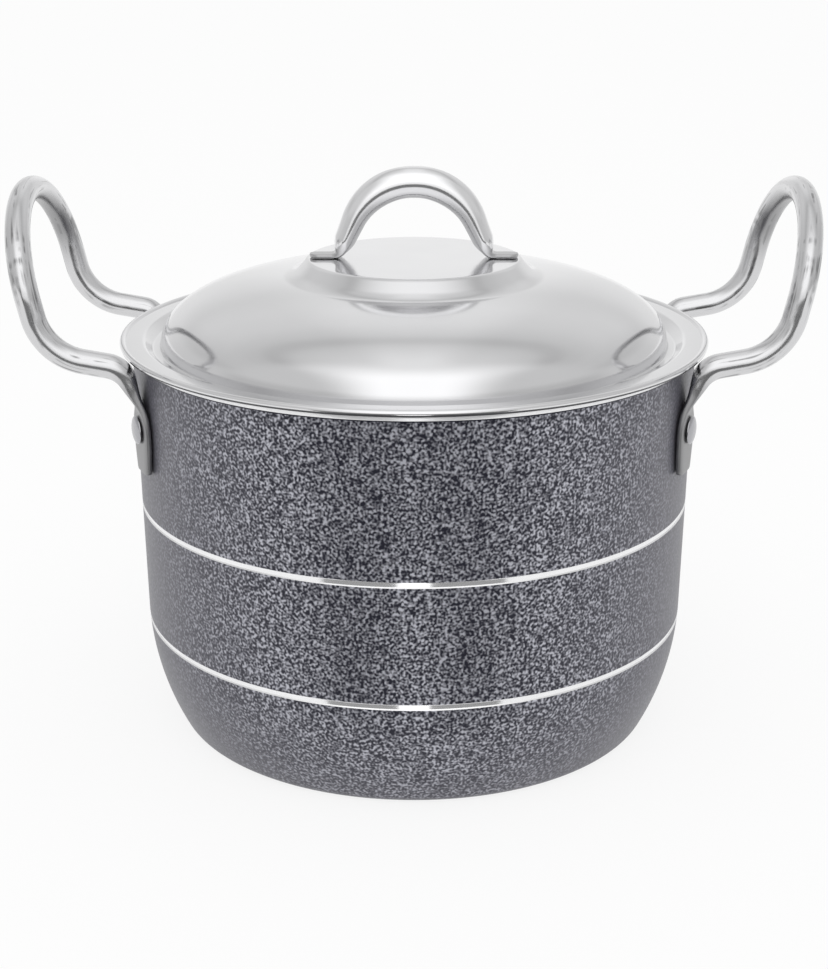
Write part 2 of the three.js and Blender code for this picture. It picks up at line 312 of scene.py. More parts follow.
def grey(level: float) -> tuple[float, float, float, float]:
    """An opaque grey for a node's socket."""
    return (level, level, level, 1.0)


def shaded(colour: Colour, share: float) -> tuple[float, float, float, float]:
    """An opaque colour for a node's socket, darkened to a share of its brightness."""
    return rgba(tuple(share * channel for channel in colour))


class Surface(Graph):
    """A material's node tree, with the coordinates that the finishes share."""

    def __init__(self, name: str) -> None:
        """Starts an empty material.

        Args:
            name: The material's name.
        """
        self.material = bpy.data.materials.new(name)
        self.material.use_nodes = True
        self.material.node_tree.nodes.clear()
        super().__init__(self.material.node_tree)
        self.place = self.add("ShaderNodeTexCoord")["Object"]

    def around_axis(self, drift: float) -> Wire:
        """Coordinates for marks that run round the pot's axis.

        Args:
            drift: How far the marks wander over a full turn.

        Returns:
            The distance from the axis, the height and a small share of the angle.
        """
        parts = self.add("ShaderNodeSeparateXYZ", inputs={"Vector": self.place})
        x, y, z = parts["X"], parts["Y"], parts["Z"]
        radius = (x * x + y * y) ** 0.5
        angle = self.math("ARCTAN2", y, x)
        return self.combined(radius, z, angle * (drift / FULL_TURN))

    def bump(self, height: Wire, depth: float, strength: float, base: Wire | None = None) -> Wire:
        """The surface normal over a relief.

        Args:
            height: The relief, from 0 to 1.
            depth: Its depth.
            strength: How much of it shows.
            base: The normal that it lies on, or None for the surface's own.

        Returns:
            The normal for a shader.
        """
        inputs = {"Strength": strength, "Distance": depth, "Height": height}
        if base is not None:
            inputs["Normal"] = base
        return self.add("ShaderNodeBump", inputs=inputs)["Normal"]

    def glow(self, brightness: float) -> Wire:
        """A white shader that shines with a brightness."""
        inputs = {"Color": grey(1.0), "Strength": brightness}
        return self.add("ShaderNodeEmission", inputs=inputs)["Emission"]

    def shader(self, inputs: Mapping[str, Feed]) -> Wire:
        """A Principled shader with those values and wires."""
        return self.add("ShaderNodeBsdfPrincipled", inputs=inputs)["BSDF"]

    def mixed_shader(self, share: Wire, first: Wire, second: Wire) -> Wire:
        """The shader at a share of the way from the first to the second."""
        inputs = {"Fac": share, "Shader": first, "Shader_001": second}
        return self.add("ShaderNodeMixShader", inputs=inputs)["Shader"]

    def finished(self, shader: Wire) -> bpy.types.Material:
        """The material, with its tree ended in a shader."""
        self.add("ShaderNodeOutputMaterial", inputs={"Surface": shader})
        return self.material


@dataclass(frozen=True)
class HammertonePaint:
    """Dark blue-grey stove paint: light metal flakes drawn into worms on a dark ground, under gloss."""

    name: str = "hammertone_paint"
    ground: Colour = (0.004, 0.004, 0.014)
    ground_roughness: float = 0.52
    flake: Colour = (0.565, 0.57, 0.63)
    flake_roughness: float = 0.42
    flake_contrast: float = 1.8
    flake_metal: float = 0.8
    full_metal_from: float = 0.6
    specular: float = 0.25
    grain: float = 0.92 * MM
    grain_levels: tuple[float, float] = (0.28, 0.74)
    worms: float = 0.25
    cloud: float = 18 * MM
    cloud_share: float = 0.02
    relief: float = 0.1 * MM
    relief_strength: float = 0.3
    gloss: float = 0.1
    gloss_roughness: float = 0.22
    # Painted sheen: an even grey that replaces the flakes at glancing angles, standing in for the paint's
    # reflection there.
    veil: Colour = (0.13, 0.128, 0.15)
    veil_roughness: float = 0.4
    veil_step: Step = Step(0.06, 0.8, 0.0, 0.88)
    facing_blend: float = 0.5

    def material(self) -> bpy.types.Material:
        """Mixes the paint: flakes on their ground, under a painted sheen, an even grey that takes their
        place where the surface is seen from the side.

        Returns:
            The paint as a material.
        """
        surface = Surface(self.name)
        turned = surface.add("ShaderNodeLayerWeight", inputs={"Blend": self.facing_blend})["Facing"]
        grain = surface.noise(surface.place, self.grain, distortion=self.worms)
        cloud = surface.noise(surface.place, self.cloud, detail=1.0)
        lit = surface.ramped(grain + (cloud - NOISE_MIDDLE) * self.cloud_share, *self.grain_levels)
        flakes = surface.shader({
            "Base Color": surface.mixed(lit**self.flake_contrast, rgba(self.ground), rgba(self.flake)),
            "Metallic": surface.ramped(lit, 0.0, self.full_metal_from) * self.flake_metal,
            "Roughness": surface.between(self.ground_roughness, self.flake_roughness, lit),
            "Specular IOR Level": self.specular,
            "Coat Weight": self.gloss,
            "Coat Roughness": self.gloss_roughness,
            "Normal": surface.bump(grain, self.relief, self.relief_strength),
        })
        # Painted sheen: a plain grey shader mixed in where the surface turns away from the view.
        veil = surface.shader({"Base Color": rgba(self.veil), "Roughness": self.veil_roughness})
        sheen_share = surface.stepped(turned, self.veil_step)
        return surface.finished(surface.mixed_shader(sheen_share, flakes, veil))


@dataclass(frozen=True)
class TurnedAluminium:
    """Bare aluminium with the fine rings that a turning tool leaves."""

    name: str
    colour: Colour = (0.80, 0.80, 0.81)
    stain: float = 14 * MM
    stain_tone: float = 0.86
    line: float = 0.22 * MM
    drift: float = 0.5 * MM
    relief: float = 0.02 * MM
    relief_strength: float = 0.35
    roughness: float = 0.24
    spread: float = 0.12
    anisotropy: float = 0.4
    metallic: float = 1.0

    def material(self) -> bpy.types.Material:
        """Mixes the turned metal.

        Returns:
            The metal as a material.
        """
        surface = Surface(self.name)
        lines = surface.noise(surface.around_axis(self.drift), self.line, detail=2.0)
        stain = surface.noise(surface.place, self.stain, detail=2.0)
        return surface.finished(surface.shader({
            "Base Color": surface.mixed(stain, rgba(self.colour), shaded(self.colour, self.stain_tone)),
            "Metallic": self.metallic,
            "Roughness": lines * self.spread + self.roughness - self.spread / 2,
            "Anisotropic": self.anisotropy,
            "Normal": surface.bump(lines, self.relief, self.relief_strength),
        }))


@dataclass(frozen=True)
class PolishedSteel:
    """Stainless steel polished on a wheel, with a faint haze, hair-fine marks, darker streaks in patches,
    and darker places that a piece's attribute marks: dull pressed ends and painted shade.
    """

    name: str
    colour: Colour = (0.76, 0.76, 0.77)
    dull: float = 0.38
    roughness: float = 0.12
    worn_roughness: float = 0.2
    haze: float = 0.06
    haze_size: float = 22 * MM
    haze_tone: float = 0.94
    mark: float = 0.3 * MM
    mark_drift: float = 2 * MM
    mark_roughness: float = 0.02
    relief: float = 0.004 * MM
    relief_strength: float = 0.2
    wave: float = 0.0
    wave_size: float = 5 * MM
    wave_strength: float = 0.5
    streaks: float = 0.0
    streak_length: float = 26 * MM
    streak_count: float = 3.2
    streak_levels: tuple[float, float] = (0.52, 0.62)
    patch_levels: tuple[float, float] = (0.38, 0.56)
    turned: bool = False

    def material(self) -> bpy.types.Material:
        """Mixes the polished steel, darker and rougher where the piece's own attribute says so, which
        holds dull pressed ends and painted shade on inner faces.

        Returns:
            The steel as a material.
        """
        surface = Surface(self.name)
        way = surface.around_axis(self.mark_drift) if self.turned else surface.place
        marks = surface.noise(way, self.mark, detail=2.0)
        haze = surface.noise(surface.place, self.haze_size, detail=3.0)
        waves = surface.noise(surface.place, self.wave_size, detail=1.0)
        # The piece's mask of dull pressed ends and painted shade on faces that look into a loop.
        worn = surface.add("ShaderNodeAttribute", {"attribute_name": DULL_AND_SHADE})["Fac"]
        along = surface.add("ShaderNodeAttribute", {"attribute_name": STREAK})["Vector"]
        stretch = (1 / self.streak_length, self.streak_count, self.streak_count)
        drawn = surface.noise(surface.vector("MULTIPLY", along, stretch), grain=1.0, detail=2.0)
        patches = surface.ramped(waves, *self.patch_levels)
        streak = surface.ramped(drawn, *self.streak_levels) * patches * self.streaks
        dark = surface.math("MAXIMUM", worn, streak)
        polished = surface.mixed(haze, rgba(self.colour), shaded(self.colour, self.haze_tone))
        polish = haze * self.haze + marks * self.mark_roughness + self.roughness - self.haze / 2
        hand_work = surface.bump(waves, self.wave, self.wave_strength)
        return surface.finished(surface.shader({
            "Base Color": surface.mixed(dark, polished, shaded(self.colour, self.dull)),
            "Metallic": 1.0,
            "Roughness": polish + worn * self.worn_roughness,
            "Normal": surface.bump(marks, self.relief, self.relief_strength, hand_work),
        }))


Finish = HammertonePaint | TurnedAluminium | PolishedSteel


class Recipe(Graph):
    """A Geometry Nodes tree with named inputs, which grows plain meshes from seed meshes."""

    # Points closer than this are joined, and half a step keeps a whole index from rounding down.
    MERGE = 1e-6
    ROUNDING = 0.5

    def __init__(self, name: str) -> None:
        """Starts a tree that takes and gives geometry.

        Args:
            name: The tree's name.
        """
        super().__init__(bpy.data.node_groups.new(name, "GeometryNodeTree"))
        self.entry = self.add("NodeGroupInput")
        self.seed = self.named("Geometry", "NodeSocketGeometry")
        result = self.tree.interface.new_socket(
            "Geometry", in_out="OUTPUT", socket_type="NodeSocketGeometry"
        )
        self.result_key = result.identifier

    def named(self, name: str, kind: str = "NodeSocketFloat") -> Wire:
        """The value that enters at a new named input of a socket type."""
        item = self.tree.interface.new_socket(name, in_out="INPUT", socket_type=kind)
        return self.entry[item.identifier]

    def attribute(self, name: str, kind: str) -> Wire:
        """The value of a named attribute of a type."""
        inputs = {"Name": name}
        return self.add("GeometryNodeInputNamedAttribute", {"data_type": kind}, inputs)["Attribute"]

    def stored(self, shape: Wire, name: str, value: Feed, kind: str, domain: str = "POINT") -> Wire:
        """The shape with a value kept on its points or faces as a named attribute of a type."""
        settings = {"data_type": kind, "domain": domain}
        return self.add(
            "GeometryNodeStoreNamedAttribute", settings, {"Geometry": shape, "Name": name, "Value": value}
        )["Geometry"]

    def whole(self, index: Wire, count: Number) -> Wire:
        """How many whole times a count goes into an index."""
        return self.math("FLOOR", (index + self.ROUNDING) / count)

    def round_axis(self, radius: Wire, angle: Wire, height: Wire) -> Wire:
        """The point at an angle round the axis, with its radius and height."""
        cosine = self.math("COSINE", angle)
        return self.combined(radius * cosine, radius * self.math("SINE", angle), height)

    def sampled(self, row: Wire, name: str | None = None, kind: str = "FLOAT_VECTOR") -> Wire:
        """A value that one point of the seed holds.

        Args:
            row: Which of the seed's points.
            name: The attribute, or None for the point's place.
            kind: The attribute's type.

        Returns:
            The value at that point.
        """
        if name is None:
            value = self.add("GeometryNodeInputPosition")["Position"]
        else:
            value = self.attribute(name, kind)
        settings = {"data_type": kind, "domain": "POINT"}
        inputs = {"Geometry": self.seed, "Value": value, "Index": row}
        return self.add("GeometryNodeSampleIndex", settings, inputs)["Value"]

    def sheet(self, steps: Wire) -> tuple[Wire, Wire, Wire, Wire]:
        """A grid with one row for each point of the seed and a closed count of steps across.

        Args:
            steps: Faces in a row.

        Returns:
            The grid, each point's row, each point's share of the way across, and each face's row.
        """
        size = self.add("GeometryNodeAttributeDomainSize", {"component": "MESH"}, {"Geometry": self.seed})
        columns = steps + 1
        inputs = {"Vertices X": size["Point Count"], "Vertices Y": columns}
        grid = self.add("GeometryNodeMeshGrid", inputs=inputs)["Mesh"]
        index = self.add("GeometryNodeInputIndex")["Index"]
        row = self.whole(index, columns)
        share = (index - row * columns) / steps
        return grid, row, share, self.whole(index, steps)

    def shaped(self, grid: Wire, place: Wire) -> Wire:
        """Moves a grid's points and closes its seams and poles.

        Args:
            grid: The grid.
            place: Where each of its points goes.

        Returns:
            The closed, smooth-shaded shape.
        """
        inputs = {"Geometry": grid, "Position": place}
        moved = self.add("GeometryNodeSetPosition", inputs=inputs)["Geometry"]
        inputs = {"Geometry": moved, "Distance": self.MERGE}
        closed = self.add("GeometryNodeMergeByDistance", inputs=inputs)["Geometry"]
        return self.add("GeometryNodeSetShadeSmooth", inputs={"Geometry": closed})["Geometry"]

    def turned(self, steps: Wire) -> Wire:
        """Turns the seed, a section of points (radius, 0, height), about Z.

        Args:
            steps: Faces round the axis.

        Returns:
            The turned shape, with the zone of each point's stretch kept on its faces.
        """
        grid, row, share, face_row = self.sheet(steps)
        parts = self.add("ShaderNodeSeparateXYZ", inputs={"Vector": self.sampled(row)})
        place = self.round_axis(parts["X"], share * FULL_TURN, parts["Z"])
        zone = self.sampled(face_row, ZONE, "INT")
        return self.shaped(self.stored(grid, ZONE, zone, "INT", "FACE"), place)

    def finish(self, shape: Wire, zones: Iterable[Zone]) -> None:
        """Ends the tree with one named material input for each zone.

        Args:
            shape: The grown shape, with the number of each face's zone.
            zones: The areas of the piece.
        """
        shape = self.add("GeometryNodeRealizeInstances", inputs={"Geometry": shape})["Geometry"]
        number = self.attribute(ZONE, "INT")
        for zone in zones:
            settings = {"data_type": "INT", "operation": "EQUAL"}
            inputs = {"A_INT": number, "B_INT": zone.number}
            chosen = self.add("FunctionNodeCompare", settings, inputs)["Result"]
            finish = self.named(zone.value, "NodeSocketMaterial")
            inputs = {"Geometry": shape, "Selection": chosen, "Material": finish}
            shape = self.add("GeometryNodeSetMaterial", inputs=inputs)["Geometry"]
        self.add("NodeGroupOutput", inputs={self.result_key: shape})

    def grow(self, name: str, seed: bpy.types.Mesh, values: Mapping[str, object]) -> bpy.types.Object:
        """Runs the tree on a seed and keeps the result as a plain mesh.

        Args:
            name: The new piece's name.
            seed: The mesh that the tree starts from.
            values: Values of the named inputs.

        Returns:
            The piece, with its place in its mesh and no modifier.
        """
        holder = bpy.data.objects.new(f"{name}_seed", seed)
        bpy.context.scene.collection.objects.link(holder)
        modifier = holder.modifiers.new("grow", "NODES")
        modifier.node_group = self.tree
        for item in self.tree.interface.items_tree:
            if item.in_out == "INPUT" and item.name in values:
                modifier[item.identifier] = values[item.name]
        depsgraph = bpy.context.evaluated_depsgraph_get()
        mesh = bpy.data.meshes.new_from_object(holder.evaluated_get(depsgraph), depsgraph=depsgraph)
        bpy.data.objects.remove(holder)
        mesh.name = name
        mesh.set_sharp_from_angle(angle=SHARP_ANGLE)
        piece = bpy.data.objects.new(name, mesh)
        bpy.context.scene.collection.objects.link(piece)
        return piece


def polar(radius: float, angle: float) -> Vector:
    """A point of the section plane at an angle from the outward direction."""
    return Vector((radius * math.cos(angle), radius * math.sin(angle)))


def arc(centre: Vector, radius: float, start: float, end: float, steps: int) -> list[Vector]:
    """Points of an arc in the section plane between two angles from outward, its ends included."""
    return [centre + polar(radius, start + (end - start) * i / steps) for i in range(steps + 1)]


def straight(start: Vector, end: Vector, steps: int) -> list[Vector]:
    """Evenly spaced points of a line, the two ends included."""
    return [start.lerp(end, i / steps) for i in range(steps + 1)]


def rounded(corners: Sequence[tuple[Vector, float]], steps: int) -> list[Vector]:
    """Points of a line whose corners are rounded.

    Args:
        corners: The line's corners, in two or three dimensions, and the radius of each.
        steps: Stretches in each round corner.

    Returns:
        The points. The first and last corners, and those without a radius, are kept as they are.
    """
    points = []
    for i, (corner, radius) in enumerate(corners):
        if radius == 0 or i in (0, len(corners) - 1):
            points.append(corner)
            continue
        into = (corner - corners[i - 1][0]).normalized()
        out = (corners[i + 1][0] - corner).normalized()
        turn = into.angle(out)
        inward = (out - into * math.cos(turn)).normalized()
        centre = corner - into * (radius * math.tan(turn / 2)) + inward * radius
        for j in range(steps + 1):
            angle = turn * j / steps
            points.append(centre + radius * (into * math.sin(angle) - inward * math.cos(angle)))
    return points


def moved_sideways(line: Sequence[Vector], distance: float) -> list[Vector]:
    """A section line moved to its left by a distance, keeping it at every bend.

    Args:
        line: The points of the line.
        distance: How far it moves.

    Returns:
        The moved points.
    """
    runs = [(b - a).normalized() for a, b in pairwise(line)]
    moved = []
    for i, point in enumerate(line):
        into = runs[max(i - 1, 0)]
        along = (into + runs[min(i, len(runs) - 1)]).normalized()
        normal = Vector((-along.y, along.x))
        moved.append(point + normal * (distance / along.dot(into)))
    return moved


def seed_mesh(name: str, points: Sequence[Vector]) -> bpy.types.Mesh:
    """A mesh of points joined into a line.

    Args:
        name: The mesh's name.
        points: The points, in three dimensions.

    Returns:
        The mesh.
    """
    mesh = bpy.data.meshes.new(name)
    mesh.from_pydata(points, list(pairwise(range(len(points)))), [])
    return mesh


def section_seed(name: str, runs: Sequence[Run]) -> bpy.types.Mesh:
    """A seed for a turned piece.

    Args:
        name: The seed's name.
        runs: Stretches of the section, each with its zone and its points (radius, height). A run
            starts where the last one ended.

    Returns:
        The seed, with the zone of the stretch after each point.
    """
    points: list[Vector] = []
    zones: list[int] = []
    for zone, run in runs:
        fresh = run if not points else run[1:]
        if zones:
            zones[-1] = zone.number
        points += fresh
        zones += [zone.number] * len(fresh)
    mesh = seed_mesh(name, [Vector((point.x, 0, point.y)) for point in points])
    mesh.attributes.new(ZONE, "INT", "POINT").data.foreach_set("value", zones)
    return mesh


def turned_piece(
    name: str, runs: Sequence[Run], steps: int, finishes: Mapping[Zone, Finish]
) -> bpy.types.Object:
    """Grows a piece that is turned about the pot's axis.

    Args:
        name: The piece's name.
        runs: Stretches of its section.
        steps: Faces round the axis.
        finishes: The finish of each zone.

    Returns:
        The piece, with each zone in its finish.
    """
    recipe = Recipe(f"turned_{name}")
    shape = recipe.turned(recipe.named("Round Steps", "NodeSocketInt"))
    recipe.finish(shape, finishes)
    values = {zone.value: finish.material() for zone, finish in finishes.items()}
    values["Round Steps"] = steps
    return recipe.grow(name, section_seed(f"{name}_section", runs), values)


def put_in_place(piece: bpy.types.Object, body: Body, slot: Slot, *nodes: str) -> None:
    """Lets a finished piece stand for its solids.

    Args:
        piece: The piece.
        body: The body that it rides on.
        slot: The record's slot that its finish belongs to. It is not used.
        nodes: The solids that it stands for.
    """
    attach(piece, body.value)
    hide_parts(*nodes)
    log.info("%s: %d faces, stands for %s", piece.name, len(piece.data.polygons), ", ".join(nodes))


@dataclass
class PotBody:
    """The spun pot: a wall that narrows downwards, a long knee, a flat base and a turned lip."""

    height: float
    lip_radius: float
    lip_proud: float = 0.5 * MM
    lip_height: float = 2.6 * MM
    lip_edge: float = 0.4 * MM
    lip_round: float = 0.4 * MM
    wall: float = 2.6 * MM
    taper: float = 0.018
    knee_height: float = 45 * MM
    knee_radius: float = 95 * MM
    corner_radius: float = 6 * MM
    ring_heights: tuple[float, ...] = (85 * MM, 41.5 * MM)
    ring_width: float = 2.1 * MM
    ring_depth: float = 0.4 * MM
    ring_side: float = 0.35 * MM
    # Height of the band of painted shade under the lip.
    paint_edge: float = 0.45 * MM
    base_bare: float = 3 * MM
    round_steps: int = 256
    flat_steps: int = 24
    corner_steps: int = 14
    inner_corner_steps: int = 10
    inner_knee_steps: int = 28
    inner_wall_steps: int = 12
    lip_steps: int = 10
    lip_edge_steps: int = 5
    ring_steps: int = 4
    paint_edge_steps: int = 1
    paint_steps: tuple[int, ...] = (20, 16, 24)
    rim_radius: float = field(init=False)
    taper_angle: float = field(init=False)
    knee_centre: Vector = field(init=False)
    knee_angle: float = field(init=False)
    corner_centre: Vector = field(init=False)

    def __post_init__(self) -> None:
        """Works out the arcs that join the wall to the base without a crease."""
        self.rim_radius = self.lip_radius - self.lip_proud
        self.taper_angle = math.atan(self.taper)
        knee_top = self.on_wall(self.knee_height)
        self.knee_centre = knee_top - polar(self.knee_radius, -self.taper_angle)
        reach = self.knee_radius - self.corner_radius
        self.knee_angle = math.asin((self.knee_centre.y - self.corner_radius) / reach)
        self.corner_centre = self.knee_centre + polar(reach, -self.knee_angle)

    @classmethod
    def from_frame(cls) -> "PotBody":
        """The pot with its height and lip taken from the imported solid."""
        _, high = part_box("pot_body")
        return cls(height=high.z, lip_radius=high.x)

    @property
    def mouth_radius(self) -> float:
        """Radius of the opening."""
        return self.rim_radius - self.wall

    def outer_radius(self, height: float) -> float:
        """Radius of the painted wall.

        Args:
            height: A height on the wall or the knee.

        Returns:
            The radius there.
        """
        if height >= self.knee_height:
            return self.rim_radius - self.taper * (self.height - height)
        drop = self.knee_centre.y - height
        return self.knee_centre.x + math.sqrt(self.knee_radius**2 - drop**2)

    def on_wall(self, height: float, inset: float = 0.0) -> Vector:
        """A point of the section at or under the painted wall."""
        return Vector((self.outer_radius(height) - inset, height))

    def wall_run(self, top: float, bottom: float, steps: int) -> list[Vector]:
        """Points down the painted wall between two heights."""
        return [self.on_wall(top + (bottom - top) * i / steps) for i in range(steps + 1)]

    def ring_run(self, height: float) -> list[Vector]:
        """Points down one bare ring, a shallow groove with a flat floor and sloping sides.

        Args:
            height: Height of its middle.

        Returns:
            The points from the paint above it to the paint below.
        """
        half = self.ring_width / 2
        floor = half - self.ring_side
        steps = self.ring_steps
        floor_heights = [height + floor - 2 * floor * i / steps for i in range(steps + 1)]
        return [
            self.on_wall(height + half),
            *(self.on_wall(place, self.ring_depth) for place in floor_heights),
            self.on_wall(height - half),
        ]

    def inside_run(self) -> list[Vector]:
        """Follows the inside of the pot.

        Returns:
            The points from the middle of its floor to the mouth.
        """
        corner = self.corner_radius - self.wall
        knee = self.knee_radius - self.wall
        floor_end = Vector((self.corner_centre.x, self.wall))
        wall_start = self.knee_centre + polar(knee, -self.taper_angle)
        mouth = Vector((self.mouth_radius, self.height - self.lip_edge))
        return [
            *straight(Vector((0, self.wall)), floor_end, self.flat_steps),
            *arc(self.corner_centre, corner, -math.pi / 2, -self.knee_angle, self.inner_corner_steps)[1:],
            *arc(self.knee_centre, knee, -self.knee_angle, -self.taper_angle, self.inner_knee_steps)[1:],
            *straight(wall_start, mouth, self.inner_wall_steps)[1:],
        ]

    def lip_run(self) -> list[Vector]:
        """Follows the turned lip.

        Returns:
            The points from the mouth over its round outside to the paint.
        """
        edge = self.lip_edge
        half = self.lip_height / 2
        inner = Vector((self.mouth_radius + edge, self.height - edge))
        bead = []
        for i in range(self.lip_steps + 1):
            share = 1 - 2 * i / self.lip_steps
            radius = self.lip_radius - self.lip_round * share**2
            bead.append(Vector((radius, self.height - half + half * share)))
        return [
            *arc(inner, edge, math.pi, math.pi / 2, self.lip_edge_steps),
            *bead,
            self.on_wall(self.height - self.lip_height),
        ]

    def section(self) -> list[Run]:
        """Joins the stretches of the pot.

        Returns:
            The whole section, from the middle of the inside to the middle of the base.
        """
        half = self.ring_width / 2
        lip_bottom = self.height - self.lip_height
        top = lip_bottom - self.paint_edge
        runs = [
            (PotZone.INSIDE, self.inside_run()),
            (PotZone.LIP, self.lip_run()),
            # Painted shade: a near-black band just under the lip.
            (PotZone.PAINT_EDGE, self.wall_run(lip_bottom, top, self.paint_edge_steps)),
        ]
        for height, steps in zip(self.ring_heights, self.paint_steps):
            runs.append((PotZone.PAINT, self.wall_run(top, height + half, steps)))
            runs.append((PotZone.RING, self.ring_run(height)))
            top = height - half
        start, end = -self.knee_angle, -math.pi / 2
        corner = arc(self.corner_centre, self.corner_radius, start, end, self.corner_steps)
        base_edge = Vector((self.corner_centre.x - self.base_bare, 0))
        return [
            *runs,
            (PotZone.PAINT, self.wall_run(top, corner[0].y, self.paint_steps[-1])),
            (PotZone.PAINT, [*corner, base_edge]),
            (PotZone.BASE, straight(base_edge, Vector((0, 0)), self.flat_steps)),
        ]

    def build(self, finishes: Mapping[PotZone, Finish]) -> None:
        """Builds the pot and dresses each zone."""
        pot = turned_piece("pot_shell", self.section(), self.round_steps, finishes)
        put_in_place(pot, Body.POT, Slot.POT_PAINT, "pot_body")


@dataclass
class Lid:
    """The pressed lid: a hemmed flange, a channel inside the mouth, a full dome and a flat boss."""

    boss_top: float
    flange_radius: float
    mouth_radius: float
    sheet: float = 1 * MM
    hem_radius: float = 1.2 * MM
    # Where the painted shade on the hem's underside begins.
    seam_angle: float = math.radians(-14)
    play: float = 1 * MM
    channel_depth: float = 3 * MM
    channel_slope: float = 3 * MM
    channel_width: float = 6.5 * MM
    dome_rise: float = 26 * MM
    dome_fullness: float = 2.5
    boss_radius: float = 43.5 * MM
    boss_height: float = 5.8 * MM
    boss_shoulder: float = 5.5 * MM
    boss_edge: float = 2 * MM
    boss_foot: float = 9 * MM
    boss_foot_reach: float = 3.6 * MM
    press_radius: float = 1.4 * MM
    round_steps: int = 256
    disc_steps: int = 24
    dome_steps: int = 72
    bend_steps: int = 8
    hem_steps: int = 14
    seam_steps: int = 8

    @classmethod
    def from_frame(cls, pot: PotBody) -> "Lid":
        """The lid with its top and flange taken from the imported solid, in the mouth of a pot."""
        _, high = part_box("lid")
        return cls(boss_top=high.z, flange_radius=high.x, mouth_radius=pot.mouth_radius)

    @property
    def channel_top_radius(self) -> float:
        """Radius at which the flange turns down into the channel."""
        return self.mouth_radius - self.play - self.sheet / 2

    @property
    def dome_foot_radius(self) -> float:
        """Radius at which the dome rises from the channel."""
        return self.channel_top_radius - self.channel_width

    @property
    def boss_top_radius(self) -> float:
        """Radius of the flat disc on top."""
        return self.boss_radius - self.boss_shoulder

    def rise(self, radius: float) -> float:
        """Height of the dome over the channel at a radius, by a superellipse."""
        share = 1 - (radius / self.dome_foot_radius) ** self.dome_fullness
        return self.dome_rise * max(share, 0) ** (1 / self.dome_fullness)

    @property
    def channel_height(self) -> float:
        """Height of the channel's floor, at the middle of the sheet."""
        return self.boss_top - self.sheet / 2 - self.boss_height - self.rise(self.boss_radius)

    def dome_run(self) -> list[Vector]:
        """Follows the dome.

        Returns:
            The points between the round corners at its two ends.
        """
        power = 2 / self.dome_fullness
        start = self.boss_radius + self.boss_foot_reach
        first = math.asin((start / self.dome_foot_radius) ** (1 / power))
        last = math.acos((2 * self.press_radius / self.dome_rise) ** (1 / power))
        points = []
        for i in range(self.dome_steps + 1):
            angle = first + (last - first) * i / self.dome_steps
            radius = self.dome_foot_radius * math.sin(angle) ** power
            height = self.dome_rise * math.cos(angle) ** power
            points.append(Vector((radius, self.channel_height + height)))
        return points

    def middle_line(self) -> list[Vector]:
        """Follows the middle of the sheet.

        Returns:
            The points from the axis out to the hem.
        """
        boss = self.boss_top - self.sheet / 2
        channel = self.channel_height
        flange = channel + self.channel_depth
        dome = self.dome_run()
        boss_part = rounded([
            (Vector((0, boss)), 0),
            (Vector((self.boss_top_radius, boss)), self.boss_edge),
            (Vector((self.boss_radius, channel + self.rise(self.boss_radius))), self.boss_foot),
            (dome[0], 0),
        ], self.bend_steps)
        channel_part = rounded([
            (dome[-1], 0),
            (Vector((self.dome_foot_radius, channel)), self.press_radius),
            (Vector((self.channel_top_radius - self.channel_slope, channel)), self.press_radius),
            (Vector((self.channel_top_radius, flange)), self.press_radius),
            (Vector((self.flange_radius - 2 * self.hem_radius, flange)), 0),
        ], self.bend_steps)
        disc = straight(boss_part[0], boss_part[1], self.disc_steps)
        return [*disc, *boss_part[2:-1], *dome[:-1], *channel_part]

    def section(self) -> list[Run]:
        """Goes once round the sheet.

        Returns:
            The whole section, over the top, round the hem, whose inward underside carries painted shade,
            and back underneath.
        """
        line = self.middle_line()
        upper = moved_sideways(line, self.sheet / 2)
        lower = moved_sideways(line, -self.sheet / 2)
        hem = Vector((self.flange_radius - self.hem_radius, line[-1].y))
        start = math.pi - math.asin(self.sheet / 2 / self.hem_radius)
        outside = arc(hem, self.hem_radius, start, self.seam_angle, self.hem_steps)
        shade_arc = arc(hem, self.hem_radius, self.seam_angle, -start, self.seam_steps)
        return [
            (LidZone.SHEET, [*upper, *outside]),
            (LidZone.SEAM, shade_arc),
            (LidZone.SHEET, [shade_arc[-1], *reversed(lower)]),
        ]

    def build(self, finishes: Mapping[LidZone, Finish]) -> None:
        """Builds the lid and dresses each zone."""
        lid = turned_piece("lid_shell", self.section(), self.round_steps, finishes)
        put_in_place(lid, Body.COVER, Slot.LID_STEEL, "lid")


class Path:
    """A smooth line through close points, measured by the distance along it."""

    STEP = 0.05 * MM

    def __init__(self, points: Sequence[Vector]) -> None:
        """Measures the line.

        Args:
            points: Its points, in three dimensions.
        """
        self.points = list(points)
        self.marks = list(accumulate(((b - a).length for a, b in pairwise(points)), initial=0.0))
        self.length = self.marks[-1]

    def at(self, distance: float) -> Vector:
        """The point at a distance.

        Args:
            distance: The distance from the start.

        Returns:
            The point there.
        """
        i = min(max(bisect_right(self.marks, distance), 1), len(self.marks) - 1)
        low, high = self.marks[i - 1], self.marks[i]
        return self.points[i - 1].lerp(self.points[i], (distance - low) / (high - low))

    def tangent(self, distance: float) -> Vector:
        """The direction at a distance.

        Args:
            distance: The distance from the start.

        Returns:
            The direction there, with a length of one.
        """
        low = max(distance - self.STEP, 0.0)
        high = min(distance + self.STEP, self.length)
        return (self.at(high) - self.at(low)).normalized()


